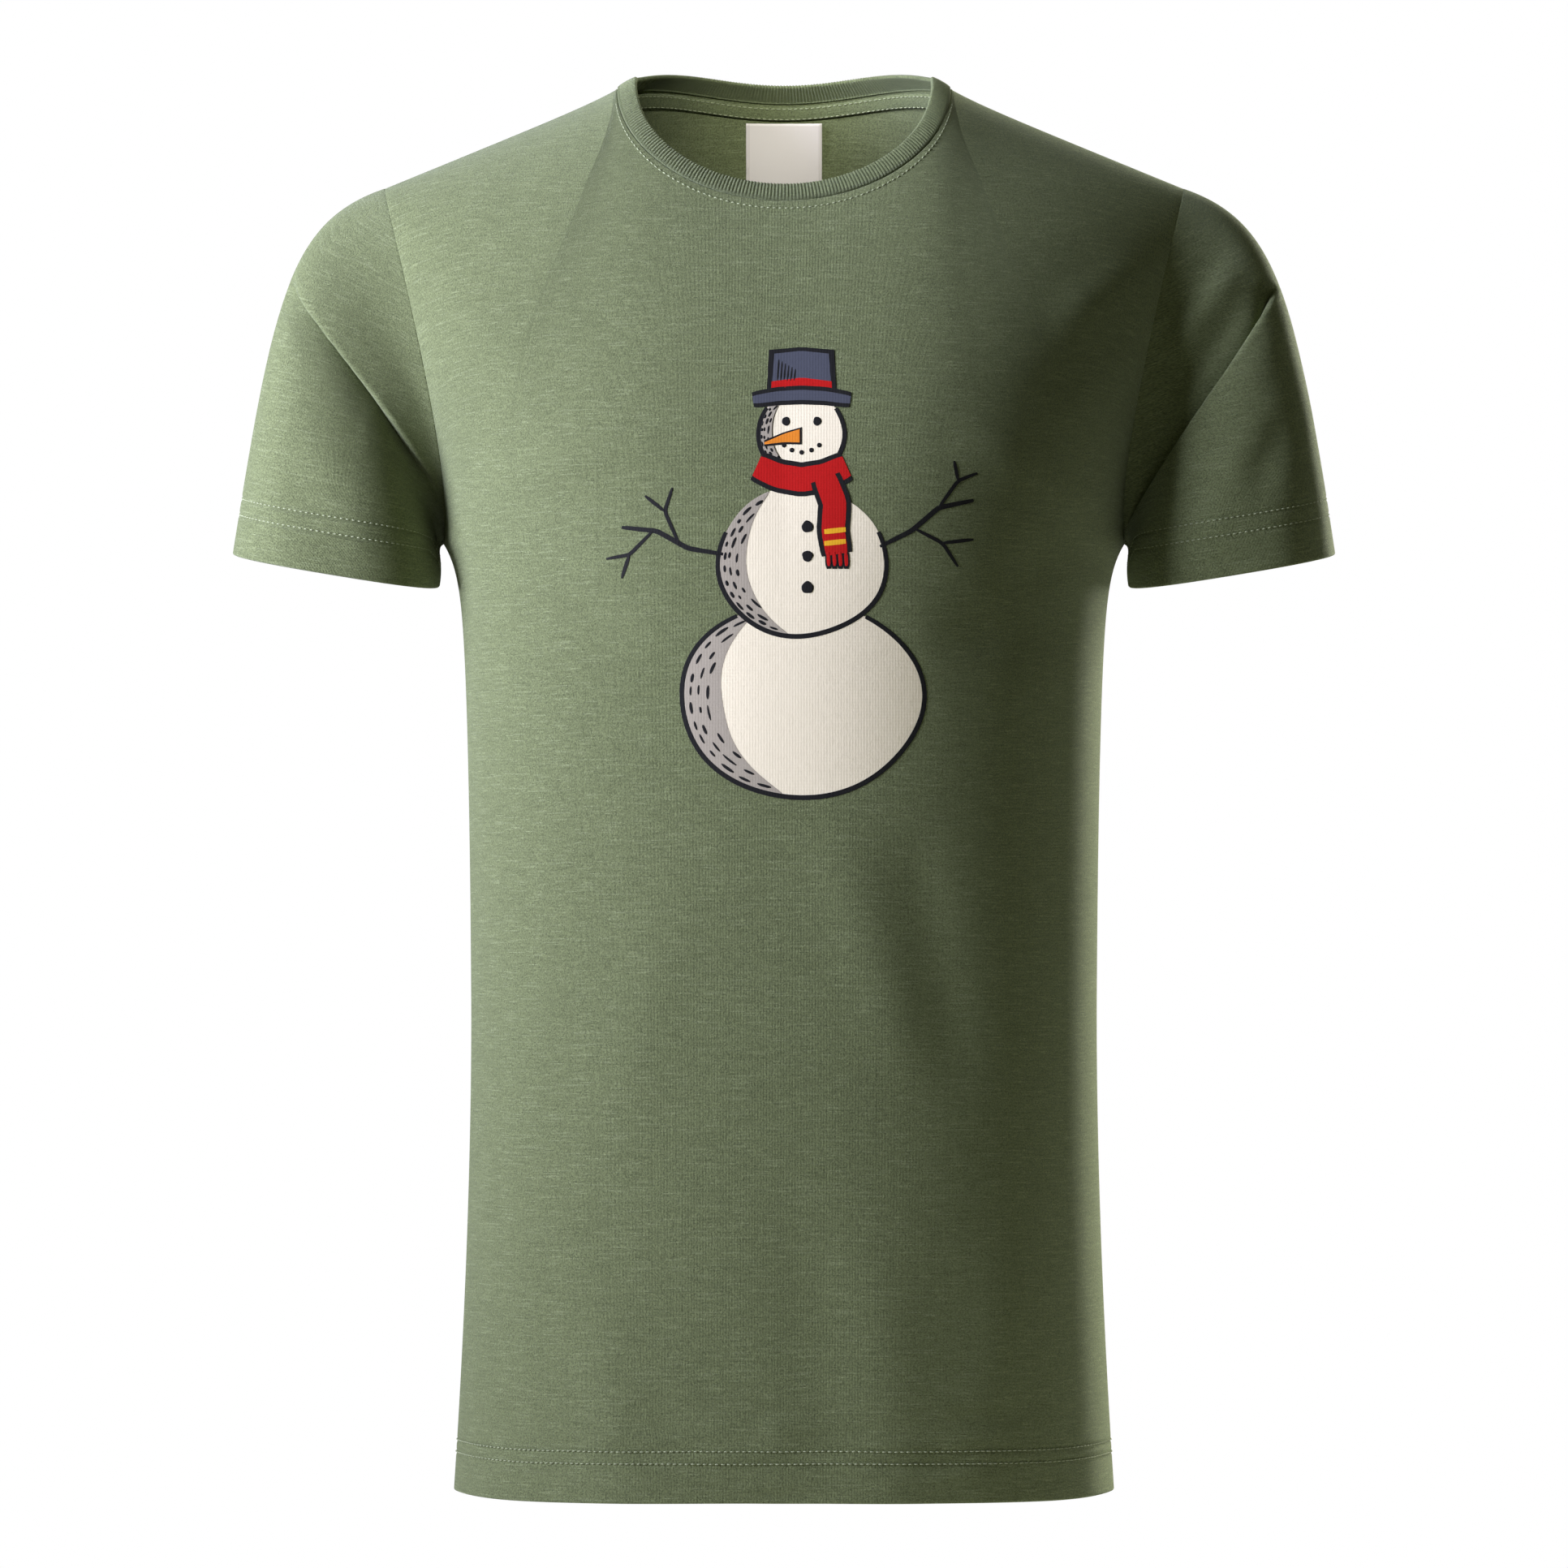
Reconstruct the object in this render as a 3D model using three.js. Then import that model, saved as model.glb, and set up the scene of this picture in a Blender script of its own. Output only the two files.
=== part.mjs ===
// A men's short-sleeved crew-neck T-shirt, filled out as if it were worn and open at the neck, the
// sleeves and the hem. Millimetres. +Z is up, the chest faces -Y and +X is the wearer's left. The origin
// lies midway between the two high shoulder points, where the collar seam meets the shoulder seams.
import * as THREE from "three";

// ---- driving dimensions: the cloth ----
const JERSEY = 0.8; // thickness of the jersey
const RIB_THICKNESS = 1.6; // the rib is folded, so it has two layers
const SEAM_GAP = 0.4; // clear space between the front and back panels where they are sewn
const SEAM_STEP = 1.2; // how far past a seam line the sleeve and the rib start

// ---- driving dimensions: collar and shoulders ----
const NECK_HALF = 88.6; // half the width between the high shoulder points
const NECK_DROP = 66; // the front collar seam's depth below the high shoulder points
const NECK_RISE = 4; // the back collar seam's rise on either side of the nape
const RIB_WIDTH = 12.5;
const SHOULDER_HALF = 211; // half the width between the two shoulder tips
const SHOULDER_SLOPE = 0.41;
const SHOULDER_EASE = 2.2; // extra fall of the shoulder line close to the collar
const SHOULDER_EASE_REACH = 15;

// ---- driving dimensions: torso ----
const ARMPIT_Z = -240;
const HEM_Z = -745; // the hem at the side seams
const HEM_LIFT = 10; // how much higher the front hem is in the middle
const SECTION_POWER = 2.3; // exponent of the superellipse that a level section follows
const ROLL_START_Z = -270; // the chest and back start to roll over to the shoulders here
const FRONT_CROWN = 0; // height at which the front would close above the middle of the neck
const BACK_CROWN = 80; // the same for the back, which stands almost upright at the nape
const CROWN_POWER = 1.25; // over 1, so that the crown meets the shoulder line with no kink
const WAIST_HALF = 164.5;
const UNDERARM_FLARE = 7.5;
const UNDERARM_REACH = 95;
const HEM_FLARE = 10;
const HEM_FLARE_Z = -480; // the sides start to flare out to the hem here
const WEB = 8; // width of the fold of cloth drawn out to the armpit point

// ---- driving dimensions: sleeves ----
const CUFF_CENTRE = new THREE.Vector3(237, 0, -253.4);
const CUFF_OUTWARD = new THREE.Vector3(54, 0, 9); // from the cuff's centre to its outer edge
const CUFF_FORWARD = new THREE.Vector3(0, -57, -4); // from the cuff's centre to its front edge
const SLEEVE_START = new THREE.Vector3(0.949, 0, -0.316); // the way a sleeve leaves the armhole
const SLEEVE_START_PULL = 0.26; // share of a string's length over which it keeps that way
const SLEEVE_END_PULL = 0.65; // the same at the cuff

// ---- driving dimensions: tape, label and print ----
const TAPE_TOP = 1.5; // distances below the back collar seam
const TAPE_FOOT = 8;
const TAPE_THICKNESS = 0.5;
const TAPE_CLEAR = 1.8; // from the middle of the back panel's cloth to the middle of the tape
const LABEL_HALF = 21;
const LABEL_TOP_Z = -9.5;
const LABEL_FOOT_Z = -52;
const LABEL_THICKNESS = 0.4;
const LABEL_CLEAR = 1.6; // from the middle of the back panel's cloth to the label
const PRINT_THICKNESS = 0.3;
const PRINT_CLEAR = 1.2; // from the middle of the front panel's cloth to the film
const PRINT_X = 9; // the print's centre line
const SNOWBALLS = [
  { z: -324, halfWidth: 62, halfHeight: 50 },
  { z: -254, halfWidth: 43, halfHeight: 38 },
  { z: -188, halfWidth: 22, halfHeight: 22 },
];
const HAT_BRIM = { low: -173, high: -168, halfWidth: 25 };
const HAT_CROWN = { low: -169, high: -152, halfWidth: 16 };
const SCARF = { low: -219, high: -202, halfWidth: 27 };
const PRINT_NARROWEST = 3;

// ---- fineness of the facets ----
const ROWS_BELOW_ARMPIT = 10;
const ROWS_ABOVE_ARMPIT = 12;
const COLUMNS_PER_SHOULDER = 8;
const COLUMNS_AT_NECK = 12;
const STEPS_ALONG_SLEEVE = 10;
const STEPS_AROUND_RIB = 48;

const FRONT = -1;
const BACK = 1;
const range = (count) => Array.from({ length: count + 1 }, (_, i) => i / count);
const clamp01 = (value) => Math.min(1, Math.max(0, value));
const mix = THREE.MathUtils.lerp;

// ---- the body that the shirt is filled out on ----

/** Height of the shoulder line at a distance x from the middle. */
function shoulderZ(x) {
  const past = Math.abs(x) - NECK_HALF;
  return -SHOULDER_SLOPE * past - SHOULDER_EASE * (1 - Math.exp(-past / SHOULDER_EASE_REACH));
}

const TIP_Z = shoulderZ(SHOULDER_HALF);

/** 0 at the armpit and 1 at the shoulder tip. */
const climb = (z) => clamp01((z - ARMPIT_Z) / (TIP_Z - ARMPIT_Z));

/** Half the width of the body without its arms. */
function bodyHalf(z) {
  const below = Math.max(0, ARMPIT_Z - z);
  const toHem = clamp01((HEM_FLARE_Z - z) / (HEM_FLARE_Z - HEM_Z));
  const h = climb(z);
  return (
    WAIST_HALF +
    UNDERARM_FLARE * Math.exp(-below / UNDERARM_REACH) +
    HEM_FLARE * toHem ** 1.8 +
    25 * h +
    43 * h ** 1.6
  );
}

/** Half the width at which a torso panel ends: its side seam, and above the armpit its armhole seam. */
function seamHalf(z) {
  const h = climb(z);
  const armpitHalf = WAIST_HALF + UNDERARM_FLARE;
  return h > 0 ? armpitHalf + (SHOULDER_HALF - armpitHalf) * (0.7 * h + 0.3 * h * h) : bodyHalf(z);
}

/** The cloth that the armpit draws outwards, close to the seam only. */
const webAt = (z) => WEB * Math.exp(-Math.abs(z - ARMPIT_Z) / (z < ARMPIT_Z ? 14 : 25));

/** Bell curve about a height. */
const bell = (z, middle, reach) => Math.exp(-(((z - middle) / reach) ** 2));

/** Depth of the chest, or of the back, from the plane of the shoulder line. */
function depthAt(side, z) {
  if (side === FRONT) return 112 + 12 * bell(z, -190, 150) + 3 * bell(z, HEM_Z, 120);
  return 98 + 20 * bell(z, -150, 150) + 20 * bell(z, HEM_Z, 180);
}

/** Height of the line that a panel rolls over to: the shoulder, going on smoothly over the neck. */
function rollTopZ(side, x) {
  const inside = 1 - (x / NECK_HALF) ** 2;
  if (inside < 0) return shoulderZ(x);
  const slope = (SHOULDER_SLOPE + SHOULDER_EASE / SHOULDER_EASE_REACH) * NECK_HALF * 0.5;
  const crown = side === FRONT ? FRONT_CROWN : BACK_CROWN;
  return slope * inside + (crown - slope) * inside ** CROWN_POWER;
}

/** 1 down on the chest or back, falling to 0 along the shoulder line as a quarter ellipse. */
function rollOver(side, x, z) {
  const up = clamp01((z - ROLL_START_Z) / (rollTopZ(side, x) - ROLL_START_Z));
  return Math.sqrt(1 - up * up);
}

/** The height that a string of the panel starts from. */
function hemZ(side, across) {
  const bulge = (1 - Math.abs(across) ** SECTION_POWER) ** (1 / SECTION_POWER);
  return side === FRONT ? HEM_Z + HEM_LIFT * bulge : HEM_Z;
}

/** Middle of the cloth of a torso panel, across from -1 to 1 between its side seams, at a height. */
function torsoPoint(side, across, z) {
  const inBody = (across * seamHalf(z)) / bodyHalf(z);
  const bodyX = inBody * bodyHalf(z);
  const x = bodyX + Math.sign(across) * webAt(z) * Math.abs(across) ** 12;
  const bulge = Math.max(0, 1 - Math.abs(inBody) ** SECTION_POWER) ** (1 / SECTION_POWER);
  const y = side * (depthAt(side, z) * bulge * rollOver(side, bodyX, z) + SEAM_GAP / 2);
  return new THREE.Vector3(x, y, z);
}

/** A point held off a torso panel's middle, outwards where the distance is positive. */
function offTorso(side, across, z, distance) {
  const step = 0.5;
  const aside = step / NECK_HALF;
  const sideways = torsoPoint(side, across + aside, z).sub(torsoPoint(side, across - aside, z));
  const upwards = torsoPoint(side, across, z + step).sub(torsoPoint(side, across, z - step));
  const normal = sideways.cross(upwards).normalize();
  return torsoPoint(side, across, z).addScaledVector(normal, -side * distance);
}

// ---- closed solids from grids of points ----

/** Direction between a grid's neighbours of one point. */
function difference(before, after) {
  return new THREE.Vector3().subVectors(after, before);
}

/** Unit normals of a grid of points, each from the points around it. */
function gridNormals(rows, closed) {
  const last = rows[0].length - 1;
  return rows.map((row, i) =>
    row.map((_, j) => {
      const left = row[closed ? (j + last) % (last + 1) : Math.max(0, j - 1)];
      const right = row[closed ? (j + 1) % (last + 1) : Math.min(last, j + 1)];
      const under = rows[Math.max(0, i - 1)][j];
      const over = rows[Math.min(rows.length - 1, i + 1)][j];
      return difference(left, right).cross(difference(under, over)).normalize();
    }),
  );
}

/** A sheet of even thickness about a grid of points; closed joins its last column to its first. */
function sheetSolid(rows, thickness, closed = false) {
  const columns = rows[0].length;
  const normals = gridNormals(rows, closed);
  const layer = (offset) =>
    rows.flatMap((row, i) => row.map((p, j) => p.clone().addScaledVector(normals[i][j], offset)));
  const points = [...layer(thickness / 2), ...layer(-thickness / 2)];
  const inner = rows.length * columns;
  const at = (i, j) => i * columns + (j % columns);
  const faces = [];
  const quad = (a, b, c, d) => faces.push(a, b, c, a, c, d);
  const spans = closed ? columns : columns - 1;
  for (let i = 0; i < rows.length - 1; i++) {
    for (let j = 0; j < spans; j++) {
      quad(at(i, j), at(i, j + 1), at(i + 1, j + 1), at(i + 1, j));
      quad(inner + at(i + 1, j), inner + at(i + 1, j + 1), inner + at(i, j + 1), inner + at(i, j));
    }
  }
  const top = rows.length - 1;
  for (let j = 0; j < spans; j++) {
    quad(inner + at(0, j), inner + at(0, j + 1), at(0, j + 1), at(0, j));
    quad(at(top, j), at(top, j + 1), inner + at(top, j + 1), inner + at(top, j));
  }
  for (let i = 0; i < top && !closed; i++) {
    quad(at(i, 0), at(i + 1, 0), inner + at(i + 1, 0), inner + at(i, 0));
    quad(inner + at(i, spans), inner + at(i + 1, spans), at(i + 1, spans), at(i, spans));
  }
  const geometry = new THREE.BufferGeometry().setFromPoints(points);
  geometry.setIndex(faces);
  geometry.computeVertexNormals();
  return geometry;
}

// ---- the two torso panels ----

/** Where a panel's string ends on the collar seam, at an angle from 0 on the left to PI on the right. */
function collarTop(side, angle) {
  const x = NECK_HALF * Math.cos(angle);
  const z = side === FRONT ? -NECK_DROP * Math.sin(angle) : NECK_RISE * Math.sin(2 * angle) ** 2;
  return { across: x / seamHalf(z), top: z };
}

/** Where a panel's string ends on the shoulder seam, from the collar at 0 to the shoulder tip at 1. */
function shoulderTop(share) {
  const x = mix(NECK_HALF, SHOULDER_HALF, Math.sin((share * Math.PI) / 2));
  return { across: x / SHOULDER_HALF, top: shoulderZ(x) };
}

/** The strings of a panel, from the +X side to the -X side. */
function panelStrings(side) {
  const shoulder = range(COLUMNS_PER_SHOULDER).slice(1).map(shoulderTop);
  const collar = range(COLUMNS_AT_NECK).map((share) => collarTop(side, Math.PI * share));
  const mirrored = shoulder.map(({ across, top }) => ({ across: -across, top }));
  return [...shoulder.reverse(), ...collar, ...mirrored];
}

/** Shares of the way from hem to shoulder tip at which a panel has its rows. */
function panelRows() {
  const armpit = (ARMPIT_Z - HEM_Z) / (TIP_Z - HEM_Z);
  const below = range(ROWS_BELOW_ARMPIT).slice(0, -1).map((share) => armpit * share);
  const above = range(ROWS_ABOVE_ARMPIT).map((share) => mix(armpit, 1, (1 - Math.cos(Math.PI * share)) / 2));
  return [...below, ...above];
}

/** The front or back panel: strings of cloth from the hem to the shoulder and collar seams. */
function torsoPanel(side) {
  const strings = panelStrings(side);
  const rows = panelRows().map((share) =>
    strings.map(({ across, top }) => torsoPoint(side, across, mix(hemZ(side, across), top, share))),
  );
  return sheetSolid(rows, JERSEY);
}

// ---- sleeves ----

/** A point of the armhole seam on the +X side: 0 at the shoulder tip, a quarter turn on at the front. */
function armholePoint(turn) {
  const z = mix(ARMPIT_Z, TIP_Z, (1 + Math.cos(turn)) / 2);
  return torsoPoint(Math.sin(turn) > 0 ? FRONT : BACK, 1, z);
}

/** A point of the cuff's edge at the same turn. */
function cuffPoint(turn) {
  const point = CUFF_CENTRE.clone().addScaledVector(CUFF_OUTWARD, Math.cos(turn));
  return point.addScaledVector(CUFF_FORWARD, Math.sin(turn));
}

/** One string of the sleeve from armhole to cuff: it leaves along the shoulder and arrives square. */
function sleeveString(turn) {
  const start = armholePoint(turn);
  const end = cuffPoint(turn);
  const length = start.distanceTo(end);
  const square = CUFF_FORWARD.clone().cross(CUFF_OUTWARD).normalize();
  return new THREE.CubicBezierCurve3(
    start,
    start.clone().addScaledVector(SLEEVE_START, SLEEVE_START_PULL * length),
    end.clone().addScaledVector(square, SLEEVE_END_PULL * length),
    end,
  );
}

/** A sleeve as a tube of strings; wearerSide is 1 for +X and -1 for -X. */
function sleeve(wearerSide) {
  const turns = range(2 * ROWS_ABOVE_ARMPIT).slice(0, -1).map((share) => 2 * Math.PI * share);
  const strings = turns.map(sleeveString);
  const rows = range(STEPS_ALONG_SLEEVE).map((share) =>
    strings.map((string) => {
      const seam = SEAM_STEP / string.getLength();
      const point = string.getPoint(mix(seam, 1, share));
      return point.setX(wearerSide * point.x);
    }),
  );
  return sheetSolid(rows, JERSEY, true);
}

// ---- collar ----

/** A point of the collar seam: 0 at the middle of the front, PI at the nape. */
function collarSeam(turn) {
  const side = Math.cos(turn) > 0 ? FRONT : BACK;
  const angle = side === FRONT ? Math.PI / 2 - turn : turn - Math.PI / 2;
  const { across, top } = collarTop(side, angle);
  return torsoPoint(side, across, top);
}

/** How far the rib leans in from upright: least at the front and most at the shoulders. */
function ribLean(turn) {
  const front = Math.cos(turn / 2) ** 2;
  return THREE.MathUtils.degToRad(38 * front + 46 * (1 - front) + 18 * Math.sin(turn) ** 2);
}

/** The ribbed band around the neck, leaning in from the collar seam. */
function neckRib() {
  const turns = range(STEPS_AROUND_RIB).slice(0, -1).map((share) => 2 * Math.PI * share);
  const axis = new THREE.Vector3(0, -5, 0);
  const rows = range(3).map((share) =>
    turns.map((turn) => {
      const seam = collarSeam(turn);
      const inward = axis.clone().sub(seam).setZ(0).normalize();
      const reach = mix(SEAM_STEP, RIB_WIDTH, share);
      const lean = ribLean(turn);
      seam.addScaledVector(inward, reach * Math.sin(lean));
      return seam.setZ(seam.z + reach * Math.cos(lean));
    }),
  );
  return sheetSolid(rows, RIB_THICKNESS, true);
}

/** The tape that covers the back collar seam on the inside, from shoulder to shoulder. */
function neckTape() {
  const angles = range(COLUMNS_AT_NECK).slice(2, -2).map((share) => Math.PI * share);
  const rows = [TAPE_FOOT, TAPE_TOP].map((below) =>
    angles.map((angle) => {
      const { across, top } = collarTop(BACK, angle);
      return offTorso(BACK, across, top - below, -TAPE_CLEAR);
    }),
  );
  return sheetSolid(rows, TAPE_THICKNESS);
}

/** The woven label inside the nape, hanging free just clear of the back panel. */
function neckLabel() {
  const rows = range(3).map((share) => {
    const z = mix(LABEL_FOOT_Z, LABEL_TOP_Z, share);
    const acrosses = range(4).map((s) => mix(LABEL_HALF, -LABEL_HALF, s) / SHOULDER_HALF);
    return acrosses.map((across) => offTorso(BACK, across, z, -LABEL_CLEAR));
  });
  return sheetSolid(rows, LABEL_THICKNESS);
}

// ---- print ----

/** Half the width of the printed snowman at a height: the widest of its snowballs, scarf and hat. */
function printHalf(z) {
  const balls = SNOWBALLS.map((ball) => {
    const up = (z - ball.z) / ball.halfHeight;
    return ball.halfWidth * Math.sqrt(Math.max(0, 1 - up * up));
  });
  const bands = [HAT_BRIM, HAT_CROWN, SCARF];
  const dress = bands.map((band) => (z >= band.low && z <= band.high ? band.halfWidth : 0));
  return Math.max(PRINT_NARROWEST, ...balls, ...dress);
}

/** The transfer film on the chest, cut to the snowman's outline. */
function chestPrint() {
  const foot = SNOWBALLS[0].z - SNOWBALLS[0].halfHeight;
  const rows = range(28).map((share) => {
    const z = mix(foot, HAT_CROWN.high, share);
    return range(6).map((s) => {
      const x = PRINT_X + mix(printHalf(z), -printHalf(z), s);
      return offTorso(FRONT, x / seamHalf(z), z, PRINT_CLEAR);
    });
  });
  return sheetSolid(rows, PRINT_THICKNESS);
}

// ---- materials and the finished shirt ----
const matte = (color, roughness) => new THREE.MeshStandardMaterial({ color, roughness, metalness: 0 });
const jersey = () => matte("#75855f", 0.92);

const shirt = new THREE.Group();

/** Adds one named piece with a material of its own. */
function addPiece(name, geometry, material) {
  const piece = new THREE.Mesh(geometry, material);
  piece.name = name;
  shirt.add(piece);
}

addPiece("front_panel", torsoPanel(FRONT), jersey());
addPiece("back_panel", torsoPanel(BACK), jersey());
addPiece("sleeve_left", sleeve(1), jersey());
addPiece("sleeve_right", sleeve(-1), jersey());
addPiece("neck_rib", neckRib(), matte("#72825c", 0.9));
addPiece("neck_tape", neckTape(), matte("#6f7f5a", 0.9));
addPiece("neck_label", neckLabel(), matte("#dbd2c6", 0.75));
addPiece("chest_print", chestPrint(), matte("#f6ece0", 0.6));

export default shirt;
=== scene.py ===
# %% [markdown]
# # A T-shirt filled out as if worn, worked out from formulas
#
# The shirt is made of cut pieces: a front and a back panel, two sleeves, a folded rib around the neck, a
# tape and a label inside the nape, a printed film on the chest, and rows of thread. Each piece here is a
# surface worked out as a function on a grid. The CAD model keeps the plain shape of the same pieces, and
# this script repeats its formulas, adds the drape, and puts real cloth in its place.
#
# Lengths in the shape functions are millimetres. They become metres when a grid becomes a mesh.

# %% Load the frame that everything is fitted to
import math

import bpy
import numpy as np
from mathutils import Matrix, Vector


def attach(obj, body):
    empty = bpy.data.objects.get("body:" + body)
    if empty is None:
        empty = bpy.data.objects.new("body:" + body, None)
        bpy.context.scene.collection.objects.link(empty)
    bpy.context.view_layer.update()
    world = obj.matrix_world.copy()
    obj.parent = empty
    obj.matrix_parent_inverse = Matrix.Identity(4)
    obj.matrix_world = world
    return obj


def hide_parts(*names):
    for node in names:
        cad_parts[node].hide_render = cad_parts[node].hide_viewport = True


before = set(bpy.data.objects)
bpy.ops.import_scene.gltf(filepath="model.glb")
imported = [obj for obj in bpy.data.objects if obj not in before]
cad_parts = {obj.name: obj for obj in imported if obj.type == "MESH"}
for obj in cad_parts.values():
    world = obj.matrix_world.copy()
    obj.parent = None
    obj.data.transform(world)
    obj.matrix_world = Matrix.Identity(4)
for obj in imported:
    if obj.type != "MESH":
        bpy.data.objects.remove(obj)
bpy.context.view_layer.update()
MM = 0.001
BODY = "root"
print("nodes in the frame:", sorted(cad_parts))

# %% [markdown]
# ## The camera
#
# The shirt is seen level and from straight ahead, from far enough away that it looks almost flat. A long
# lens at 3.4 m does that. The view is 0.83 m wide, and the shirt fills seven tenths of it.

# %% Camera
SCENE = bpy.context.scene
CAMERA_DISTANCE = 3.4
CAMERA_HEIGHT = -0.3674
VIEW_WIDTH = 0.8308
SENSOR = 36.0

camera = bpy.data.objects.new("camera", bpy.data.cameras.new("camera"))
camera.data.sensor_width = SENSOR
camera.data.lens = SENSOR * CAMERA_DISTANCE / VIEW_WIDTH
camera.location = (0.0, -CAMERA_DISTANCE, CAMERA_HEIGHT)
camera.rotation_euler = (math.radians(90), 0, 0)
SCENE.collection.objects.link(camera)
SCENE.camera = camera
SCENE.view_settings.view_transform = "Standard"
print("lens in mm:", round(camera.data.lens, 1))

# %% [markdown]
# ## The form that the shirt is filled out on
#
# A level section of a torso is close to a superellipse, which is rounder than a box and squarer than an
# ellipse. Its half width and depth change with height. Near the top the section shrinks along a quarter
# ellipse, so that chest and back roll over to the shoulder seams. These functions take whole arrays.

# %% Driving dimensions, the same as the CAD model's
JERSEY = 0.8
NECK_HALF = 88.6
NECK_DROP = 66
NECK_RISE = 4
RIB_WIDTH = 12.5
SHOULDER_HALF = 211
SHOULDER_SLOPE = 0.41
SHOULDER_EASE = 2.2
SHOULDER_EASE_REACH = 15
ARMPIT_Z = -240
HEM_Z = -745
HEM_LIFT = 10
SECTION_POWER = 2.3
ROLL_START_Z = -270
ROLL_SOFTNESS = 0.12
FRONT_CROWN = 0
BACK_CROWN = 80
WAIST_HALF = 164.5
UNDERARM_FLARE = 7.5
UNDERARM_REACH = 95
HEM_FLARE = 10
HEM_FLARE_Z = -480
SHOULDER_SPREAD = (25, 43)  # widening above the armpit: a steady part, and one that grows late
LATE = 1.6
ARMHOLE_STRAIGHT = 0.7  # the rest of the armhole seam's slope is curved
WEB = 8
WEB_BELOW = 14
WEB_ABOVE = 25
WEB_POWER = 12
FRONT = -1
BACK = 1
DEPTH = {FRONT: 112, BACK: 98}
# height, middle and reach of each: chest and hem in front, shoulder blades and hem behind
SWELLS = {
    FRONT: ((12, -190, 150), (3, HEM_Z, 120)),
    BACK: ((20, -150, 150), (20, HEM_Z, 180)),
}

# %% Dimensions that only the cloth has
SEAM_RADIUS = 0.4  # the cloth turns inwards at a seam on this radius
SEAM_TURN = SEAM_RADIUS + JERSEY / 2  # so a panel stops this far short of the seam line


def shoulder_z(x):
    """Height of the shoulder line: a straight slope with a little extra fall beside the collar."""
    past = np.abs(x) - NECK_HALF
    return -SHOULDER_SLOPE * past - SHOULDER_EASE * (1 - np.exp(-past / SHOULDER_EASE_REACH))


TIP_Z = float(shoulder_z(SHOULDER_HALF))


def climb(z):
    """0 at the armpit and 1 at the shoulder tip, in a straight line between."""
    return np.clip((z - ARMPIT_Z) / (TIP_Z - ARMPIT_Z), 0, 1)


def bell(value, middle, reach):
    """Bell curve: e to the minus square of the distance from the middle, counted in reaches."""
    return np.exp(-(((value - middle) / reach) ** 2))


def smooth_step(low, high, value):
    """0 below low, 1 above high, and three squares less two cubes of the share between."""
    share = np.clip((value - low) / (high - low), 0, 1)
    return share * share * (3 - 2 * share)


def superellipse(share):
    """Height of a level section of the body, at a share of its half width."""
    return np.clip(1 - np.abs(share) ** SECTION_POWER, 0, None) ** (1 / SECTION_POWER)


def body_half(z):
    """Half the body's width: the waist, plus a flare under the arm, one at the hem and the shoulders."""
    below = np.maximum(0, ARMPIT_Z - z)
    to_hem = np.clip((HEM_FLARE_Z - z) / (HEM_FLARE_Z - HEM_Z), 0, 1)
    h = climb(z)
    flare = UNDERARM_FLARE * np.exp(-below / UNDERARM_REACH) + HEM_FLARE * to_hem**1.8
    return WAIST_HALF + flare + SHOULDER_SPREAD[0] * h + SHOULDER_SPREAD[1] * h**LATE


def seam_half(z):
    """Half the width at which a panel ends: the side seam, and above the armpit the armhole seam."""
    h = climb(z)
    armpit_half = WAIST_HALF + UNDERARM_FLARE
    bowed = ARMHOLE_STRAIGHT * h + (1 - ARMHOLE_STRAIGHT) * h * h
    armhole = armpit_half + (SHOULDER_HALF - armpit_half) * bowed
    return np.where(h > 0, armhole, body_half(z))


def web(z):
    """Width of the fold of cloth that the armpit draws outwards, dying away above and below it."""
    return WEB * np.exp(-np.abs(z - ARMPIT_Z) / np.where(z < ARMPIT_Z, WEB_BELOW, WEB_ABOVE))


def depth_at(side, z):
    """Depth of the chest or back: a steady depth with two bell curves."""
    return DEPTH[side] + sum(height * bell(z, middle, reach) for height, middle, reach in SWELLS[side])


def roll_top(side, x):
    """Height that a panel rolls over to: the shoulder line, going on over the neck as a parabola."""
    inside = 1 - (x / NECK_HALF) ** 2
    slope = (SHOULDER_SLOPE + SHOULDER_EASE / SHOULDER_EASE_REACH) * NECK_HALF / 2
    crown = FRONT_CROWN if side == FRONT else BACK_CROWN
    over_neck = slope * inside + (crown - slope) * inside**2
    return np.where(inside > 0, over_neck, shoulder_z(x))


def soft_ramp(value):
    """The larger of the value and 0, with the corner rounded by a hyperbola."""
    return (value + np.sqrt(value * value + ROLL_SOFTNESS**2)) / 2


def roll_over(side, x, z):
    """1 on the chest, falling to 0 at the shoulder line as a quarter ellipse."""
    rise = (z - ROLL_START_Z) / (roll_top(side, x) - ROLL_START_Z)
    up = np.clip(soft_ramp(rise) / soft_ramp(1.0), 0, 1)
    return np.sqrt(1 - up * up)


print("shoulder tip height in mm:", round(TIP_Z, 1))

# %% [markdown]
# ## The drape of the torso
#
# Cloth on a body is never as smooth as a formula. The weight of the shirt hangs from the shoulders and
# the chest, and pulls soft folds between them. Each fold is a ridge: a bell curve across a line, fading
# at both ends of the line. A negative height makes a hollow. Adding them to the depth of the torso keeps
# every seam closed, because the depth is multiplied by zero there.


# %% Folds of the front and back panels
def ridge(x, z, start, end, width, height):
    """Height times a bell curve of the distance from a line, faded in and out along it."""
    run = np.subtract(end, start)
    length = np.hypot(*run)
    along = ((x - start[0]) * run[0] + (z - start[1]) * run[1]) / length**2
    aside = ((x - start[0]) * run[1] - (z - start[1]) * run[0]) / length
    window = smooth_step(-0.25, 0.3, along) * (1 - smooth_step(0.7, 1.25, along))
    return height * window * np.exp(-((aside / width) ** 2))


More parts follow.
